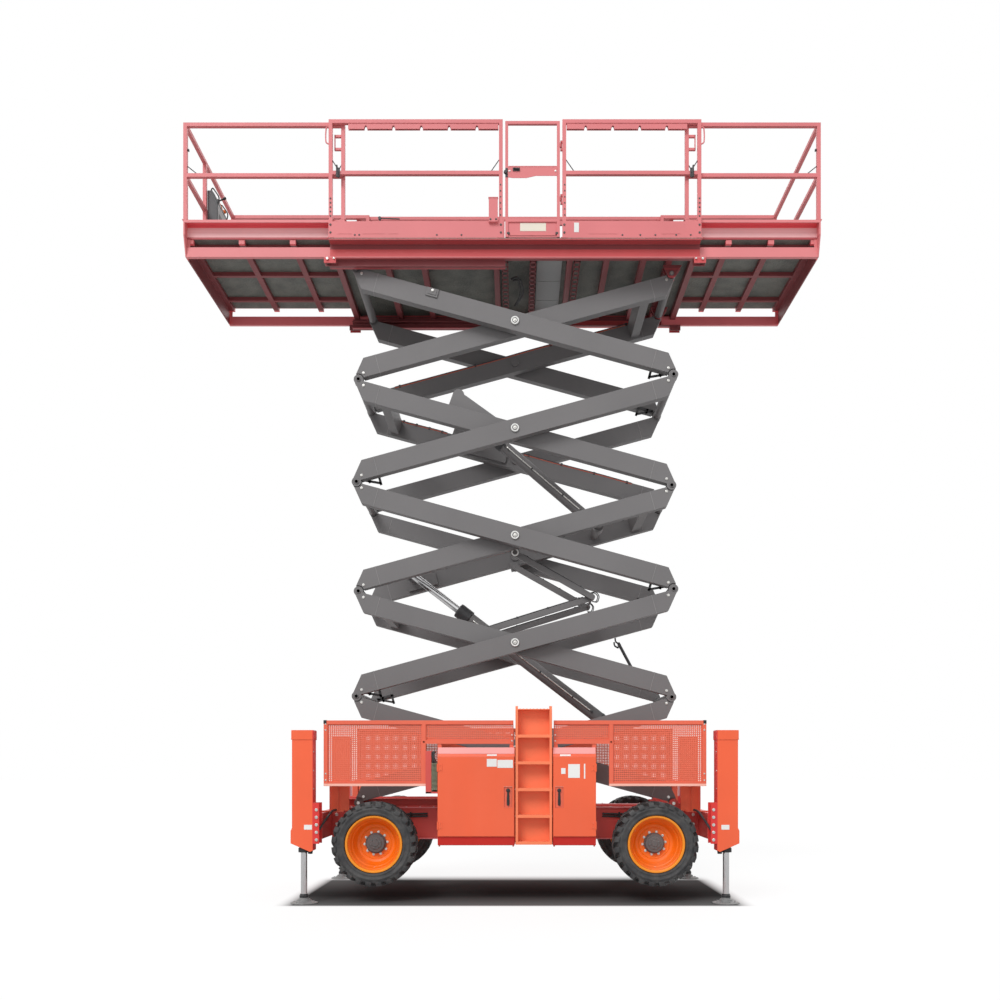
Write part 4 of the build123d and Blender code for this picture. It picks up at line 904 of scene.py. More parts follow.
def make_doors():
    """Paddle latches in lined recesses, black strips behind the door edges as painted shade in the gaps,
    blank plates and hinge leaves.
    """
    z0, z1 = LATCH_Z
    lip = 0.004
    for side_name, side in SIDES.items():
        out, face, back = (0, side, 0), side * DOOR_FACE_Y, side * DOOR_BACK_Y
        floor = face - side * RECESS_DEPTH
        for end_name in ENDS:
            body = f"{end_name}_door_{side_name}"
            low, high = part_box(body)
            a, b = from_middle(*LATCHES[end_name])
            middle = (a + b) / 2
            lining, latch, gap_shade, leaves = fittings(4)
            lining.block((a + 0.001, b - 0.001), (floor, floor - side * 0.001), (z0 + 0.001, z1 - 0.001))
            for x, z in (
                ((a - lip, a), (z0 - lip, z1 + lip)), ((b, b + lip), (z0 - lip, z1 + lip)),
                ((a, b), (z1, z1 + lip)), ((a, b), (z0 - lip, z0)),
            ):
                lining.block(x, (face - side * 0.006, face + side * 0.0015), z)
            latch.peg(0.021, (middle, floor, LATCH_BOSS_Z), out, 0, 0.016, 28, 0.018)
            latch.peg(0.009, (middle, floor, LATCH_BOSS_Z), out, 0.014, 0.020)
            latch.hull(
                [(middle + x, floor + side * 0.002, z) for x, z in GRIP],
                [(middle + x * 0.8, floor + side * 0.013, z) for x, z in GRIP],
            )
            # painted shade: black strips behind each door's edges darken the gaps round it
            for z in (low.z + 0.012, high.z - 0.022):
                gap_shade.block((low.x + 0.012, high.x - 0.012), (back, back - side * 0.004), (z, z + 0.010))
            for x in (low.x + 0.018, high.x - 0.028):
                gap_shade.block((x, x + 0.010), (back, back - side * 0.004), (low.z + 0.012, high.z - 0.012))
            hinge = low.x + 0.035 if end_name == "front" else high.x - 0.035
            for z in HINGE_Z:
                leaves.block(
                    around(hinge, 0.022), (face, face + side * 0.002), around(z, 0.036)
                )
                for shift in (-0.022, 0.022):
                    leaves.bolt((hinge, face + side * 0.002, z + shift), out, 0.005)
            lining.piece(f"{body}_latch_recess", body, "guard_orange")
            latch.piece(f"{body}_latch", body, "black", bevel=0.0015)
            gap_shade.piece(f"{body}_seal", body, "black")
            if side < 0:
                plates = Fitting()
                for x, z in DOOR_PLATES[end_name]:
                    plates.block(from_middle(*x), (face - 0.0012, face + 0.0005), z)
                plates.piece(f"{body}_blank_plates", body, "white")
            leaves.piece(f"{body}_hinge_leaves", body, "cover_orange")


# paths of pipes from the engine's near top edge
INJECTOR_PIPE = ((0.04, 0.11, -0.004), (0.04, 0.03, -0.01), (0.02, 0.02, -0.12))
AIR_PIPE = ((0.02, 0.1, -0.1), (-0.02, 0.08, -0.05), (-0.03, 0.1, 0))


def make_engine():
    """Engine top with its cover, filters, pulley and pipes, seen when a door is open."""
    low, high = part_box("engine_block")
    engine, dark, pipes = fittings(3)
    engine.block((low.x, high.x), (low.y, high.y), (low.z, high.z - 0.20))
    engine.block((low.x + 0.04, high.x - 0.06), (low.y + 0.05, high.y - 0.05), (high.z - 0.21, high.z - 0.07))
    for n in range(4):
        x = low.x + 0.09 + n * 0.115
        engine.block((x, x + 0.085), (low.y + 0.08, high.y - 0.08), (high.z - 0.08, high.z - 0.012))
        dark.peg(0.012, (x + 0.04, low.y + 0.11, high.z), Z, -0.02, 0, 16)
        pipes.pipe(shifted((x, low.y, high.z), INJECTOR_PIPE), 0.005)
    for n in range(9):
        z = low.z + 0.05 + n * 0.033
        engine.block((low.x + 0.02, high.x - 0.02), (low.y - 0.004, low.y + 0.01), (z, z + 0.012))
    dark.peg(0.055, (low.x + 0.13, low.y, low.z + 0.22), Y, -0.004, 0.09, 32)
    dark.peg(0.05, (high.x - 0.09, low.y + 0.005, high.z), Z, -0.30, -0.16, 32)
    pipes.pipe(shifted((low.x, low.y, high.z), AIR_PIPE), 0.02, 14)
    engine.piece("engine_castings", "chassis", "iron", ("engine_block",), bevel=0.004)
    dark.piece("engine_filters", "chassis", "black", bevel=0.002)
    pipes.piece("engine_pipes", "chassis", "hose")


def make_cooler():
    """The cooler's shroud, its finned core and its hoses."""
    low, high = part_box("cooler")
    shroud, core, hoses = fittings(3)
    split = low.x + 0.058
    shroud.block((low.x, split), (low.y, low.y + 0.03), (low.z, high.z))
    shroud.block((low.x, split), (high.y - 0.03, high.y), (low.z, high.z))
    shroud.block((low.x, high.x), (low.y, high.y), (low.z, low.z + 0.018))
    for n in range(22):
        z = low.z + 0.035 + n * 0.0125
        core.block((split, high.x - 0.006), (low.y + 0.006, high.y - 0.006), (z, z + 0.006))
    core.block(
        (split + 0.008, high.x - 0.012), (low.y + 0.012, high.y - 0.012), (low.z + 0.02, low.z + 0.315)
    )
    for n in range(9):
        y = low.y + 0.012 + n * 0.037
        core.block((split + 0.002, high.x - 0.008), (y, y + 0.006), (low.z + 0.02, low.z + 0.315))
    for shift in (0.0, 0.03):
        hoses.pipe(
            [
                (low.x + 0.07 + shift, low.y + 0.02, low.z + 0.31),
                (low.x + 0.08, low.y + 0.01, low.z + 0.36),
                (low.x + 0.05 + shift, low.y + 0.012, low.z + 0.40),
                (low.x + 0.09, low.y + 0.03, high.z - 0.01),
            ],
            0.012,
        )
    shroud.piece("cooler_shroud", "chassis", "chassis_red", ("cooler",), bevel=0.002)
    core.piece("cooler_core", "chassis", "core_green")
    hoses.piece("cooler_hoses", "chassis", "hose")


def make_ladder():
    """Raised grip buttons on the steps, folded edges and screw heads on the side plates."""
    low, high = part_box("access_ladder")
    grips, bolts = fittings(2)
    lowest, rise, thick = 0.589, 0.268, 0.030
    treads = [lowest + n * rise + thick for n in range(5)] + [high.z - thick]
    for z in treads:
        depth = 3 if z < high.z - 0.1 else 2
        for row in range(depth):
            for n in range(9):
                x = low.x + 0.045 + n * (high.x - low.x - 0.09) / 8
                y = low.y + 0.030 + row * 0.030
                grips.peg(0.007, (x, y, z), Z, -0.001, 0.004, 12, 0.004)
    for x, out in ((low.x, -1), (high.x, 1)):
        for z in treads[:-1]:
            for y in (low.y + 0.03, low.y + 0.09):
                bolts.bolt((x, y, z - 0.012), (out, 0, 0), 0.006)
        grips.block((x, x - out * 0.004), (low.y - 0.0015, low.y + 0.001), (low.z, high.z - 0.05))
    grips.piece("ladder_grips", "chassis", "ladder_lit_orange", smooth=30)
    bolts.piece("ladder_bolts", "chassis", "zinc", smooth=30)


# ---------------------------------------------------------------- outriggers and frame
FRAME_FACE_Y, FRAME_END = 0.500, 1.945
LEG_X, LEG_Y, COVER_HALF_Y = 2.120, 1.100, 0.075
PLATE_X = {"front": -2.065, "rear": 2.099}
LEG_R = 0.0315
# profiles of (radius, height)
SLEEVE = ((0.0475, 0), (0.056, 0), (0.056, 0.040), (0.0475, 0.048))
FOOT = (
    (0, 0), (0.133, 0), (0.135, 0.004), (0.133, 0.008), (0.112, 0.014), (0.080, 0.021),
    (0.066, 0.026), (0.062, 0.040), (0.046, 0.045), (0.044, 0.060), (0, 0.060),
)
COLLAR = (
    (LEG_R, 0.058), (0.0455, 0.058), (0.0455, 0.078), (0.041, 0.082),
    (0.041, 0.090), (0.0365, 0.095), (LEG_R, 0.095),
)
# from a leg's middle: X towards its end of the machine, Y outwards, Z
LEG_HOSE = (
    (-0.30, 0.62, 0.905), (-0.24, 0.80, 0.93), (-0.20, 0.99, 0.84), (-0.15, 1.12, 0.73), (-0.105, 1.10, 0.70),
)


def make_outriggers():
    """Feet, rods, blank plates, bolts, bump stops and hoses of the four outrigger legs."""
    plates, bolts, stops, hoses, folds = fittings(5)
    for end_name, end in ENDS.items():
        for side_name, side in SIDES.items():
            x, y = STACK_X + end * LEG_X, side * LEG_Y
            face = y + side * COVER_HALF_Y
            plate = STACK_X + PLATE_X[end_name]
            plate_y = (face - side * 0.001, face + side * 0.0008)
            plates.block(around(plate, 0.040), plate_y, (0.742, 0.790))
            inner, inwards = x - end * 0.105, (-end, 0, 0)
            for z in (0.640, 0.715, 0.790, 0.865, 0.940):
                bolts.bolt((inner - end * 0.034, face, z), (0, side, 0), 0.013)
                bolts.bolt((inner - end * 0.012, y - side * 0.040, z), inwards, 0.012)
                bolts.bolt((inner - end * 0.012, y + side * 0.030, z), inwards, 0.012)
            for z in (1.15, 1.33, 1.52):
                bolts.bolt((inner, face - side * 0.02, z), inwards, 0.007)
            stops.peg(0.022, (x - end * 0.070, y + side * 0.035, 0), Z, 0.498, 0.530, 20, 0.026)
            stops.lathe(SLEEVE, (x, y, 0.512), Z, 32)
            folds.block((x + end * 0.1115, x + end * 0.1135), around(y, 0.080), (1.640, 1.650))
            folds.block(around(x, 0.109), around(y, 0.079), (1.7315, 1.7355))
            hoses.pipe(at_corner(x, end, side, LEG_HOSE), 0.011)
            leg, foot, collar = fittings(3)
            leg.peg(LEG_R, (x, y, 0), Z, 0.050, 1.060, 40)
            body = f"outrigger_leg_{end_name}_{side_name}"
            leg.piece(f"{body}_rod", body, "chrome", (body,))
            foot.lathe(FOOT, (x, y, 0), Z, 64)
            for a, b in circle(8, 0.095, math.radians(10)):
                foot.bolt((x + a, y + b, 0.017), Z, 0.007, washer=False)
            foot.piece(f"{body}_foot", body, "foot_grey", smooth=30)
            collar.lathe(COLLAR, (x, y, 0), Z, 40)
            collar.piece(f"{body}_collar", body, "black", smooth=30)
    plates.piece("outrigger_blank_plates", "chassis", "white")
    bolts.piece("outrigger_bolts", "chassis", "zinc", smooth=30)
    stops.piece("outrigger_bump_stops", "chassis", "black", bevel=0.002)
    hoses.piece("outrigger_hoses", "chassis", "hose")
    folds.piece("outrigger_cap_seams", "chassis", "cover_orange")


def make_frame_fittings():
    """Cap strips, bolts, hoses and clamps along the frame's rails, and the panels over the wheels."""
    caps, bolts, hoses, clamps, panels = fittings(5)
    for side in SIDES.values():
        face = side * FRAME_FACE_Y
        caps.block(
            from_middle(-FRAME_END, FRAME_END), (face - side * 0.12, face + side * 0.022), (0.928, 0.940)
        )
        caps.block(from_middle(-FRAME_END, FRAME_END), (face, face + side * 0.016), (0.600, 0.612))
        for n in range(27):
            bolts.bolt((STACK_X - 1.88 + n * 0.145, face + side * 0.012, 0.940), Z, 0.008)
        for end in ENDS.values():
            for x in (1.80, 1.90):
                for z in (0.66, 0.76, 0.86):
                    bolts.bolt((STACK_X + end * x, face, z), (0, side, 0), 0.014)
            for z in (0.845, 0.871):
                sagging = (
                    (0.93, 0.512, z), (1.15, 0.514, z - 0.006), (1.40, 0.512, z), (1.62, 0.512, z + 0.004),
                )
                hoses.pipe(at_corner(STACK_X, end, side, sagging), 0.010)
            for x in (1.10, 1.24, 1.36):
                clamps.block(from_middle(end * x, end * (x + 0.018)), (face, side * 0.527), (0.830, 0.888))
            # upright panels behind the outer ends of the guards, with a slot between them
            for a, b in ((1.725, 1.815), (1.835, 1.905)):
                panels.block(from_middle(end * a, end * b), (side * 0.744, side * 0.751), (0.9125, 1.172))
            panels.block(
                from_middle(end * 1.725, end * 1.905), (side * 0.7405, side * 0.744), (0.9125, 1.172)
            )
    caps.piece("frame_cap_strips", "chassis", "platform_red")
    bolts.piece("frame_bolts", "chassis", "zinc", smooth=30)
    hoses.piece("frame_hoses", "chassis", "hose")
    clamps.piece("frame_hose_clamps", "chassis", "black", bevel=0.002)
    panels.piece("end_panels", "chassis", "cover_orange")


# ---------------------------------------------------------------- scissor arms
PIN_OFFSET = 0.105
ARM_HALF_H, ARM_HALF_W = 0.100, 0.050
OUTER_Y, INNER_Y = 0.610, 0.480
# profile of the white ring round a centre pin: radius, and out from the arm
PIN_RING = ((0.028, 0), (0.043, 0), (0.043, 0.007), (0.040, 0.010), (0.031, 0.010), (0.028, 0.007))
# stretches of hose along the inner arms, by stage, from the centre pin
HOSE_RUNS = {
    1: ((-1.42, 1.42),),
    2: ((-1.42, -0.12), (0.06, 1.42)),
    3: ((-0.86, 1.38),),
    4: ((-1.42, -0.84), (0.08, 1.38)),
    5: ((-1.42, 1.42),),
}


def arm_frame(kind, stage):
    """An arm's own frame: +X along its tube to the rear, origin at its centre pin."""
    centre = joint_at(f"inner_arm_{stage}_pivot")
    low = joint_at("lift" if stage == 1 else f"outer_arm_{stage}_pivot")
    run, rise = abs(low.x - centre.x), abs(centre.z - low.z)
    half = math.hypot(run, rise)
    angle = math.atan2(rise, run) - math.asin(PIN_OFFSET / half)
    way = 1 if (kind == "inner") == (stage % 2 == 1) else -1
    matrix = Matrix.Translation((centre.x, 0, centre.z)) @ Matrix.Rotation(-way * angle, 4, "Y")
    return matrix, way, math.sqrt(half**2 - PIN_OFFSET**2)


def stop_plate(piece, tip, root, y0, y1, z0, z1):
    """A gusset with one window: a top bar, a slanted lower bar, a foot and a web."""
    rim = 0.026
    for outline in (
        ((tip, z1), (root, z1), (root, z1 - rim), (tip, z1 - rim)),
        ((tip, z1), (tip, z1 - rim), (root, z0), (root, z0 + rim)),
    ):
        piece.slab(outline, y0, y1)
    for share in (0.42, 1.0):
        x = tip + share * (root - tip)
        foot = z1 - rim + share * (z0 - z1 + rim)
        piece.block((x, x - rim * math.copysign(1, root - tip)), (y0, y1), (foot, z1))


def make_arm_fittings():
    """Seams, pin rings, keeper bolts, stop plates and hoses on every arm."""
    for stage in range(1, STAGES + 1):
        for kind, tube_y in (("outer", OUTER_Y), ("inner", INNER_Y)):
            place, way, reach = arm_frame(kind, stage)
            body = f"{kind}_arm_{stage}"
            seams, bolts, rings, dark, hoses = fittings(5, place)
            for side in SIDES.values():
                y0, y1 = side * tube_y - ARM_HALF_W, side * tube_y + ARM_HALF_W
                out, face = (0, side, 0), side * (tube_y + ARM_HALF_W)
                for end in (-1, 1):
                    u = end * (reach - 0.24)
                    seams.block(
                        around(u, 0.003), (y0 - 0.0015, y1 + 0.0015),
                        (-ARM_HALF_H - 0.0015, ARM_HALF_H + 0.0015),
                    )
                    pin = Vector((end * reach, 0, end * way * PIN_OFFSET))
                    bolts.bolt((pin.x - end * 0.070, face, pin.z - end * way * 0.050), out, 0.012)
                    bolts.peg(0.017, (pin.x, face, pin.z), out, 0.006, 0.011, 24)
                if kind == "outer":
                    rings.lathe(PIN_RING, (0, face + side * 0.008, 0), out, 40)
                    bolts.peg(0.020, (0, face, 0), out, 0.008, 0.018, 24)
                    bolts.bolt((0, face + side * 0.018, 0), out, 0.009)
                    if stage > 1:
                        # stop plate in the gap inside the joint with the arm below
                        y = side * (tube_y - ARM_HALF_W)
                        u = -way * (reach - 0.060)
                        y_range = sorted((y - side * 0.004, y - side * 0.014))
                        stop_plate(dark, u, u + way * 0.190, *y_range, -0.175, -0.06)
                elif side > 0:
                    # an orange and a black hose let into the inner face of the far tube, under clips
                    y = tube_y - ARM_HALF_W + 0.0015
                    for a, b in HOSE_RUNS[stage]:
                        middle = (a + b) / 2
                        for lift, target in ((0.088, hoses), (0.100, dark)):
                            stations = ((a, 0), (middle - 0.2, -0.004), (middle + 0.2, 0.004), (b, 0))
                            target.pipe([(u, y, lift + sag) for u, sag in stations], 0.005, 8)
                        for n in range(4):
                            u = a + 0.06 + (b - a - 0.12) * n / 3
                            dark.block(around(u, 0.012), (y - 0.0045, y), (0.076, 0.110))
            seams.piece(f"{body}_seams", body, "weld")
            bolts.piece(f"{body}_bolts", body, "zinc", smooth=30)
            for fitting, label, finish in (
                (dark, "plates", "dark_steel"), (rings, "pin_rings", "white"), (hoses, "hose", "hose_orange"),
            ):
                if fitting.bm.verts:
                    fitting.piece(f"{body}_{label}", body, finish)
                else:
                    fitting.bm.free()


def make_prop():
    """The service prop on the second inner arm, the link's rings and the platform's lock."""
    prop = Fitting(arm_frame("inner", 2)[0])
    y, top_x = -0.300, 1.070
    for shift in (-0.022, 0.022):
        prop.rod(0.013, (1.330, y + shift, 0.060), (top_x, y + shift, 0.335), 16)
    prop.block((1.30, 1.36), (-0.345, -0.255), (0.020, 0.075))
    prop.block((1.29, 1.37), (-0.440, -0.270), (0.020, 0.034))
    for z in (0.300, 0.345):
        prop.pipe(
            [(top_x + 0.02, y, z - 0.02), (top_x - 0.03, y, z - 0.01), (top_x - 0.045, y, z + 0.030)],
            0.009,
        )
    prop.peg(0.016, (top_x + 0.02, 0, 0.310), Y, -0.335, -0.265)
    prop.piece("service_prop", "inner_arm_2", "dark_steel", bevel=0.0015)
    place = arm_frame("inner", 3)[0]
    ring, pin = fittings(2, place)
    for side in SIDES.values():
        at = (-0.034, side * 0.4255, -0.125)
        ring.lathe([(0.026, 0), (0.041, 0), (0.041, 0.002), (0.026, 0.003)], at, (0, side, 0), 40)
        pin.peg(0.022, at, (0, side, 0), 0, 0.0028, 24, 0.018)
    ring.piece("link_pivot_rings", "inner_arm_3", "white")
    pin.piece("link_pivot_bolts", "inner_arm_3", "iron", smooth=30)
    place = arm_frame("outer", 5)[0]
    lock, bolt = fittings(2, place)
    y = -(OUTER_Y + ARM_HALF_W)
    lock.block((-0.98, -0.85), (y - 0.012, y), (0.010, 0.100))
    lock.block((-0.96, -0.87), (y - 0.018, y - 0.012), (0.030, 0.085))
    bolt.bolt((-0.915, y - 0.018, 0.072), (0, -1, 0), 0.013)
    lock.piece("platform_lock_bracket", "outer_arm_5", "arm_grey", bevel=0.003)
    bolt.piece("platform_lock_bolt", "outer_arm_5", "zinc", smooth=30)


def beside(out, away, along):
    """A point off a cylinder's middle line, in the cylinder's own frame."""
    return out * away + Vector((0, 0, along))


def make_cylinders():
    """Glands with their screws, side pipes and ports of both lift cylinders."""
    for name, radius, length in (("lower", 0.070, 2.080), ("upper", 0.062, 1.510)):
        tip = Vector(JOINTS[f"{name}_cylinder_stroke"]["axis"]).normalized()
        if tip.z < 0:
            tip = -tip
        place = aimed(joint_at(f"{name}_cylinder_pivot"), tip)
        out = place.to_3x3().inverted() @ Vector((0, -1, 0))
        gland, pipe, ports = fittings(3, place)
        end, reach, wall = length + 0.030, radius + 0.010, radius - 0.022
        sleeve = (
            (radius + 0.004, end - 0.165), (radius + 0.0135, end - 0.160), (radius + 0.0135, end - 0.012),
            (radius + 0.006, end), (wall, end), (wall, end - 0.165),
        )
        inner, outer = radius - 0.004, radius + 0.003
        for profile in (sleeve, ((inner, 0.10), (outer, 0.10), (outer, 0.125), (inner, 0.125))):
            gland.lathe(profile, (0, 0, 0), Z, 48)
        for x, y in circle(8, radius * 0.86):
            gland.bolt((x, y, end - 0.001), Z, 0.006, washer=False)
        pipe.pipe(
            [
                beside(out, radius - 0.01, 0.26), beside(out, reach, 0.27),
                beside(out, reach, end - 0.22), beside(out, radius - 0.01, end - 0.20),
            ],
            0.0075,
        )
        x, y = out.x * reach, out.y * reach
        for z in (0.5, 0.95, 1.35):
            ports.block(around(x, 0.010), around(y, 0.010), (z, z + 0.018))
        for z in (0.24, end - 0.24):
            ports.rod(0.015, beside(out, radius - 0.015, z), beside(out, radius + 0.012, z), 12)
        barrel = f"{name}_cylinder_barrel"
        gland.piece(f"{name}_cylinder_gland", barrel, "dark_steel", smooth=30)
        pipe.piece(f"{name}_cylinder_pipe", barrel, "zinc")
        ports.piece(f"{name}_cylinder_ports", barrel, "dark_steel", bevel=0.0015)


def make_hose_links():
    """Bundled hoses and clips between the bars of the hose guide, and loops at its knee."""
    knee, pivot = joint_at("hose_link_knee"), joint_at("hose_link_upper_pivot")
    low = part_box("hose_link_lower")[0]
    foot = Vector((low.x + 0.03, 0, low.z + 0.03))
    lift = Vector((0, 0, 0.036))
    for name, start, end, spread in (
        ("upper", pivot, knee, (0.350, 0.362, 0.374)),
        ("lower", knee, foot, (0.306, 0.318, 0.329)),
    ):
        along, length = (end - start).normalized(), (end - start).length
        hoses, clips = fittings(2)
        for side in SIDES.values():
            for y in spread:
                shift = Vector((0, side * y, 0))
                hoses.pipe(
                    [
                        start + along * 0.10 + lift + shift,
                        start + along * length * 0.5 + lift * 1.1 + shift,
                        end - along * 0.10 + lift + shift,
                    ],
                    0.0055, 8,
                )
            clip_y = (side * (spread[0] - 0.008), side * (spread[2] + 0.008))
            for n in range(4):
                at = start + along * (0.15 + n * (length - 0.3) / 3)
                clips.block(around(at.x, 0.012), clip_y, (at.z + 0.026, at.z + 0.046))
        hoses.piece(f"hose_link_{name}_hoses", f"hose_link_{name}", "hose")
        clips.piece(f"hose_link_{name}_clips", f"hose_link_{name}", "dark_steel")
    loops = Fitting()
    for side in SIDES.values():
        for y, size in ((0.348, 0.050), (0.366, 0.062)):
            bend = (
                (-0.03, 0.040), (size * 0.6, size), (size * 1.3, 0.01), (size * 0.9, -size), (0.0, -0.045)
            )
            loops.pipe([knee + Vector((x, side * y, z)) for x, z in bend], 0.0055, 8)
    loops.piece("hose_link_knee_loops", "hose_link_upper", "hose")


# ---------------------------------------------------------------- platform
RAIL_Y, RAIL_HALF = 0.895, 0.019
RAIL_TOP, RAIL_MID = 8.000, 7.455
GUSSET_FOOT_Z = RAIL_MID + 0.016
POST_X, GATE_POSTS_X = 1.890, (-0.145, 0.505)
# from a corner post's middle: X towards its end, Y outwards, Z
RAIL_CLIP = (
    (0.010, 0.902, 7.930), (0.045, 0.902, 7.925), (0.052, 0.902, 7.840),
    (0.048, 0.902, 7.765), (0.010, 0.902, 7.750),
)
DECK_TOP, DECK_Y = 6.785, 0.915
CURB_X = {"front": -3.412, "rear": 3.145}
# profile of (radius, along the roller)
ROLLER = ((0.0100, -0.019), (0.0284, -0.019), (0.0284, 0.019), (0.0100, 0.019))
# from the machine's middle
DECK_HOSES = (
    ((-0.02, -0.20, 6.700), (0.06, -0.25, 6.690), (0.10, 0.10, 6.690), (0.02, 0.35, 6.700)),
    ((-0.04, -0.22, 6.705), (0.03, -0.30, 6.695), (0.07, 0.12, 6.695), (0.0, 0.40, 6.705)),
)


def notched_strip(piece, x0, x1, notches, y, z0, z1):
    """A strip along X with round notches in its lower edge."""
    outline = [(x0, z1), (x0, z0)]
    for notch in notches:
        for step in range(9):
            turn = math.pi * (1 - step / 8)
            outline.append((notch + 0.015 * math.cos(turn), z0 + 0.036 * math.sin(turn)))
    outline += [(x1, z0), (x1, z1)]
    piece.slab(outline, *around(y, 0.0015))


def make_platform_rails():
    """Guide strips, brackets, latches, gussets, feet and bolts of the fixed guardrail."""
    strips, dark, bolts, rods, box = fittings(5)
    z_strip = (7.904, RAIL_TOP - 2 * RAIL_HALF + 0.001)
    for side in SIDES.values():
        y = side * RAIL_Y
        out = (0, side, 0)
        for a, b, first, count, pitch in ((-1.71, -0.17, -1.530, 5, 0.285), (0.53, 1.765, 0.725, 4, 0.277)):
            notches = [STACK_X + first + n * pitch for n in range(count)]
            for shift in (-0.012, 0.012):
                notched_strip(strips, STACK_X + a, STACK_X + b, notches, y + shift, *z_strip)
        gate_posts = GATE_POSTS_X if side < 0 else ()
        for x in from_middle(-POST_X, *gate_posts, POST_X):
            strips.block(
                around(x, 0.034), (side * 0.875, side * (DECK_Y + 0.003)),
                (DECK_TOP, DECK_TOP + 0.008),
            )
            for z in (DECK_TOP + 0.055, DECK_TOP + 0.135):
                bolts.bolt((x, side * (DECK_Y + 0.0005), z), out, 0.009)
        for end in ENDS.values():
            x = STACK_X + end * POST_X
            for n in range(5):
                bolts.bolt((x, y + side * RAIL_HALF, 7.010 + n * 0.045), out, 0.007)
            # clip that the roll-out guardrail's top tube runs in
            strips.pipe(at_corner(x, end, side, RAIL_CLIP), 0.007)
            # spring latch on the guardrail's middle tube
            latch = STACK_X + end * 1.812
            face = y + side * RAIL_HALF
            dark.block(around(latch, 0.020), (face, face + side * 0.010), (7.405, 7.500))
            pin_y, grip_y = face + side * 0.016, face + side * 0.030
            dark.rod(0.010, (latch - end * 0.004, pin_y, 7.395), (latch + end * 0.012, pin_y, 7.520), 16)
            grip = [(latch - end * 0.018, grip_y, 7.440), (latch - end * 0.014, grip_y, 7.385)]
            dark.pipe([(latch, face + side * 0.012, 7.470), *grip], 0.006)
            gusset = from_middle(end * 1.873, end * 1.800)
            rods.rod(0.005, (gusset[0], y, 7.590), (gusset[1], y, GUSSET_FOOT_Z), 10)
        for post, way in zip(gate_posts, (-1, 1)):
            gusset = from_middle(post + way * 0.015, post + way * 0.105)
            rods.rod(0.005, (gusset[0], y, 7.600), (gusset[1], y, GUSSET_FOOT_Z), 10)
            for n in range(6):
                bolts.bolt((STACK_X + post + way * 0.004, y - RAIL_HALF, 7.020 + n * 0.062), out, 0.006)
        face = side * (DECK_Y + 0.0005)
        for x in (-1.640, -1.595, -0.800, -0.548, 0.40, 1.10, 1.283, 1.437, 1.650, 1.80):
            if side > 0 or not -0.1 < x < 0.46:
                bolts.bolt((STACK_X + x, face, 6.815), out, 0.007)
        for a, b in ((-1.82, -1.67), (-1.56, -1.33), (-1.30, -1.20), (0.75, 1.05), (1.50, 1.70)):
            strips.block(from_middle(a, b), (face, face + side * 0.0012), (6.824, 6.827))
    hook = ((1.385, 0.907, 6.962), (1.372, 0.915, 6.985), (1.18, 0.915, 6.978))
    dark.pipe(at_corner(STACK_X, ENDS["front"], SIDES["near"], hook), 0.006)
    dark.peg(0.016, (STACK_X - 1.385, 0, 6.985), Y, -0.925, -0.905)
    box.block(from_middle(-0.268, -0.176), (-0.945, -0.9165), (6.935, 7.180))
    box.block(from_middle(-0.272, -0.172), (-0.949, -0.9165), (7.176, 7.186))
    for x in (-0.250, -0.194):
        bolts.bolt((STACK_X + x, -0.945, 6.960), (0, -1, 0), 0.008)
    plates = Fitting()
    plates.block(from_middle(0.605, 0.655), (-DECK_Y - 0.0015, -DECK_Y + 0.0005), (6.842, 6.940))
    strips.piece("guardrail_guides", "platform", "platform_red")
    dark.piece("guardrail_latches", "platform", "dark_steel", bevel=0.001)
    bolts.piece("guardrail_bolts", "platform", "iron", smooth=30)
    rods.piece("guardrail_gussets", "platform", "dark_steel")
    box.piece("document_box", "platform", "platform_red", bevel=0.002)
    plates.piece("platform_blank_plate", "platform", "white")


def make_gate():
    """Middle plate, latch, handle, kick plate details and blank plate on the gate."""
    face = -RAIL_Y - 0.015
    plate, dark, blank, bolts = fittings(4)
    x0, x1 = from_middle(-0.085, 0.445)
    outline = [
        (x0 + 0.012, 7.520), (x0 + 0.012, 7.405), (x0 + 0.06, 7.398), (x0 + 0.20, 7.398),
        (x0 + 0.30, 7.420), (x1 - 0.012, 7.420), (x1 - 0.012, 7.520),
    ]
    plate.slab(outline, face, face - 0.004)
    plate.block((x0 + 0.02, x1 - 0.02), (face - 0.006, face - 0.003), (7.512, 7.522))
    for x in (x0 + 0.03, x1 - 0.03):
        bolts.bolt((x, face - 0.004, 7.470), (0, -1, 0), 0.008)
    dark.block((x0 + 0.062, x0 + 0.135), (face - 0.012, face - 0.004), (7.468, 7.500))
    dark.rod(0.007, (x0 + 0.07, face - 0.020, 7.490), (x0 + 0.128, face - 0.020, 7.484), 12)
    dark.peg(0.020, (x0 - 0.012, face, 7.455), (0, -1, 0), 0.004, 0.024, 24, 0.016)
    dark.block((x0 - 0.014, x0 + 0.010), (face - 0.006, face + 0.004), (7.410, 7.500))
    kick = -RAIL_Y - 0.003
    for x in (x0 + 0.002, x1 - 0.030):
        dark.block((x, x + 0.028), (kick - 0.014, kick), (DECK_TOP + 0.040, DECK_TOP + 0.062))
    plate.block((x0 + 0.030, x1 - 0.030), (kick - 0.006, kick), (DECK_TOP + 0.030, DECK_TOP + 0.036))
    plate.block((x0 + 0.015, x1 - 0.015), (kick - 0.010, kick), (DECK_TOP + 0.170, DECK_TOP + 0.182))
    blank.block(from_middle(0.052, 0.318), (kick - 0.0015, kick), (6.862, 6.946))
    plate.piece("gate_plates", "gate", "platform_red", bevel=0.0015)
    dark.piece("gate_latch", "gate", "dark_steel", bevel=0.0015)
    blank.piece("gate_blank_plate", "gate", "cream")
    bolts.piece("gate_bolts", "gate", "zinc", smooth=30)


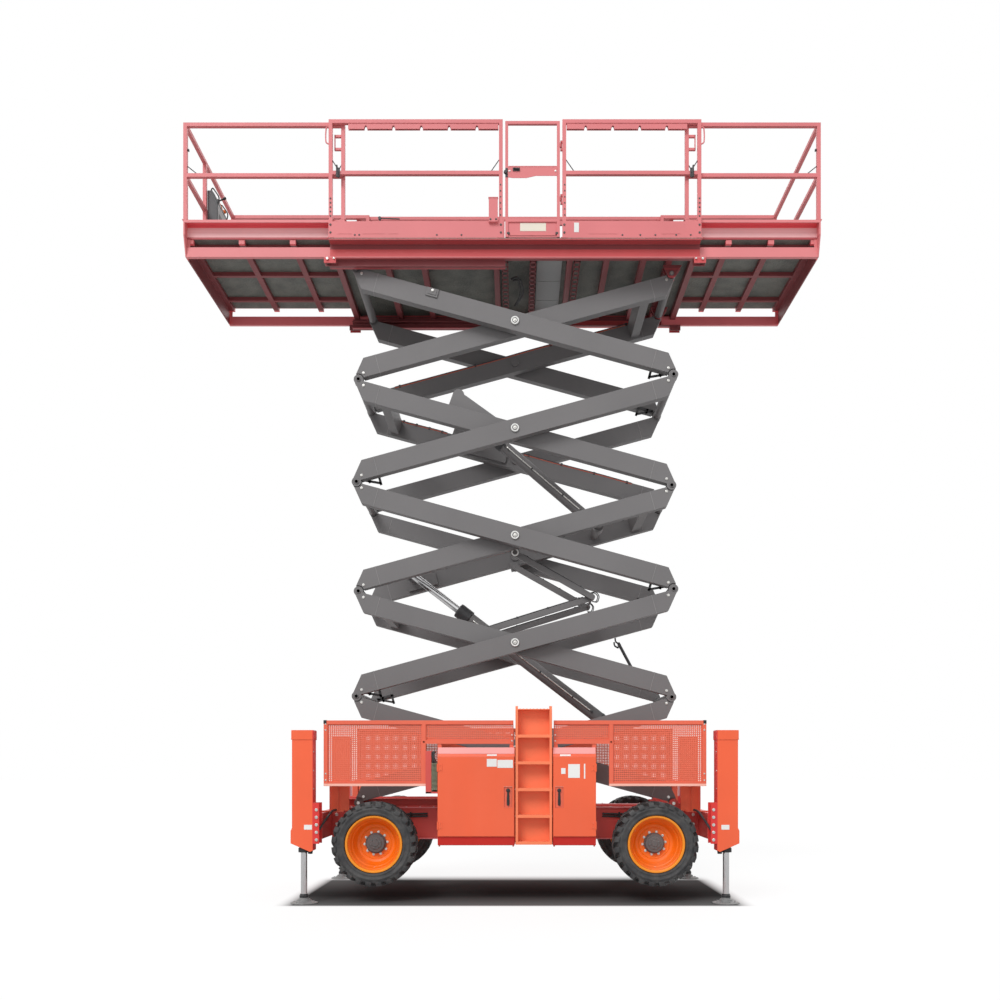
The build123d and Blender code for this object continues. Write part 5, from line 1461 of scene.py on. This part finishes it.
def make_extensions():
    """Ladder bars at the inner posts, feet, gussets, corner plates and bolts of both roll-outs."""
    for end_name, end in ENDS.items():
        body = f"{end_name}_extension"
        rails_low, rails_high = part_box(f"{body}_rails")
        tip = rails_low.x if end < 0 else rails_high.x
        root = rails_high.x if end < 0 else rails_low.x
        bars, bolts, rods = fittings(3)
        for side in SIDES.values():
            y = side * (rails_high.y - RAIL_HALF)
            inner = root + end * RAIL_HALF
            for z in (7.861, 7.728):
                bars.block((inner, inner + end * 0.088), around(y, 0.011), around(z, 0.013))
            bars.block((inner + end * 0.080, inner + end * 0.090), around(y, 0.011), (7.715, 7.874))
            rods.rod(0.005, (inner + end * 0.005, y, 7.590), (inner + end * 0.075, y, GUSSET_FOOT_Z), 10)
            outer, inwards = tip - end * RAIL_HALF, (-end, 0, 0)
            rods.rod(0.005, (outer, y, 7.570), (outer - end * 0.125, y, GUSSET_FOOT_Z), 10)
            foot_z = rails_low.z + 0.007
            foot_y = (side * (rails_high.y - 0.062), side * (rails_high.y + 0.001))
            for x in (inner, outer):
                bars.block(around(x, 0.032), foot_y, (rails_low.z, foot_z))
                for shift in (-0.024, 0.024):
                    bolts.bolt((x + shift, y - side * 0.028, foot_z), Z, 0.006)
            # latch knob on the corner post
            rods.peg(0.010, (outer, y, 7.720), inwards, 0.012, 0.030, 14)
            rods.peg(0.014, (outer, y, 7.720), inwards, 0.028, 0.036, 16)
            # corner plate and its bolts at the tip of the curb
            edge = STACK_X + CURB_X[end_name]
            bars.block((edge - end * 0.001, edge - end * 0.016), (side * 0.790, side * 0.869), (6.846, 6.990))
            for z in (6.700, 6.880, 6.945):
                bolts.bolt((edge, side * (0.78 if z < 6.8 else 0.84), z), (end, 0, 0), 0.008)
        bars.piece(f"{body}_bars", body, "platform_red", bevel=0.0015)
        bolts.piece(f"{body}_bolts", body, "zinc", smooth=30)
        rods.piece(f"{body}_gussets", body, "dark_steel")


def make_underside():
    """Perforated channels, plates and hoses under the deck, and black rollers at its ends."""
    channels, plates, rollers, bolts, hoses = fittings(5)
    for x in (-0.105, 0.190, 0.655):
        x += STACK_X
        for edge in (-0.034, 0.024):
            channels.block((x + edge, x + edge + 0.010), (-0.660, 0.660), (6.668, 6.700))
        for n in range(15):
            y = -0.660 + n * (1.300 / 14)
            channels.block(around(x, 0.034), (y, y + 0.030), (6.668, 6.674))
    plates.block(from_middle(0.235, 0.505), (-0.670, 0.670), (6.7655, 6.7745))
    for y in (-0.50, -0.05, 0.40):
        plates.block(from_middle(0.245, 0.495), (y, y + 0.060), (6.762, 6.766))
    for side in SIDES.values():
        for end in ENDS.values():
            x, z = STACK_X + end * 1.938, 6.6167
            rollers.lathe(ROLLER, (x, side * 0.785, z), Y, 32)
            for shift in (-0.068, 0.0):
                bolts.bolt((x + end * shift, side * 0.8322, 6.620), (0, side, 0), 0.008)
            bolts.peg(0.013, (x, 0, z), (0, side, 0), 0.830, 0.838)
    for points in DECK_HOSES:
        hoses.pipe(shifted((STACK_X, 0, 0), points), 0.010)
    # the channels take the beam's red darkened as painted shade
    channels.piece("deck_cable_channels", "platform", "beam_shade_dark")
    plates.piece("deck_cover_plates", "platform", "plate_grey")
    rollers.piece("deck_roller_tyres", "platform", "black")
    bolts.piece("deck_bolts", "platform", "zinc", smooth=30)
    hoses.piece("deck_hoses", "platform", "hose")


def make_control_box():
    """The upper control box: sloped face, joystick with boot, buttons, blank screen, guard bar."""
    low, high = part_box("control_box")
    shell, face, dark, bright = fittings(4)
    y0, y1 = low.y, high.y
    outline = (
        (low.x, low.z), (low.x, high.z), (low.x + 0.055, high.z), (high.x, high.z - 0.13), (high.x, low.z)
    )
    shell.slab(outline, y0, y1)
    face.block((high.x, high.x + 0.003), (y0 + 0.012, y1 - 0.012), (low.z + 0.012, high.z - 0.145))
    start = Vector((low.x + 0.060, 0, high.z - 0.006))
    slope, down = Vector((0.921, 0, 0.389)), Vector((0.389, 0, -0.921))

    def on_slope(along, y, lift):
        return start + down * along + slope * lift + Vector((0, y, 0))

    def stud(fitting, radius, along, y, bottom, top, sides, end_radius=None):
        fitting.rod(radius, on_slope(along, y, bottom), on_slope(along, y, top), sides, end_radius)

    panel = ((0.004, y0 + 0.012), (0.004, y1 - 0.012), (0.128, y1 - 0.012), (0.128, y0 + 0.012))
    corners = [on_slope(along, y, 0.0) for along, y in panel]
    face.hull(corners, [corner + slope * 0.003 for corner in corners])
    stud(dark, 0.028, 0.075, y0 + 0.085, 0.002, 0.018, 24, 0.016)
    stud(dark, 0.008, 0.075, y0 + 0.085, 0.015, 0.075, 14)
    stud(dark, 0.015, 0.075, y0 + 0.085, 0.065, 0.100, 18, 0.012)
    for n in range(4):
        stud(bright, 0.010, 0.040 + 0.05 * (n % 2), y0 + 0.20 + 0.05 * (n // 2), 0.002, 0.012, 18)
    stud(bright, 0.020, 0.06, y1 - 0.05, 0.002, 0.024, 24)
    dark.block((high.x + 0.003, high.x + 0.005), (y0 + 0.05, y1 - 0.05), (low.z + 0.04, low.z + 0.13))
    for y in (y0 + 0.02, y1 - 0.02):
        dark.pipe(
            [
                (low.x + 0.03, y, high.z - 0.01), (low.x + 0.05, y, high.z + 0.045),
                (high.x + 0.02, y, high.z - 0.07), (high.x - 0.005, y, high.z - 0.15),
            ],
            0.007,
        )
    for y in (y0 + 0.09, y1 - 0.09):
        dark.peg(0.012, (low.x, y, high.z - 0.06), X, -0.004, 0.004, 16)
    shell.piece("control_shell", "front_extension", "box_grey", ("control_box",), bevel=0.004)
    face.piece("control_face", "front_extension", "plate_grey", bevel=0.001)
    dark.piece("control_stick", "front_extension", "black")
    bright.piece("control_buttons", "front_extension", "rim_orange")


# ---------------------------------------------------------------- stage
def make_floor():
    """The white floor, out to beyond the horizon."""
    bpy.ops.mesh.primitive_plane_add(size=160, location=(0, 0, -0.001))
    floor = bpy.context.object
    floor.name = "studio_floor"
    floor.data.materials.append(floor_finish("studio_floor"))


bpy.context.scene.view_settings.view_transform = "Standard"
make_camera()
make_lights()
make_world()
make_floor()
finish_cad_nodes()
make_tyres()
make_rims()
make_guards()
make_cabinets()
make_doors()
make_engine()
make_cooler()
make_ladder()
make_outriggers()
make_frame_fittings()
make_arm_fittings()
make_prop()
make_cylinders()
make_hose_links()
make_platform_rails()
make_gate()
make_extensions()
make_underside()
make_control_box()
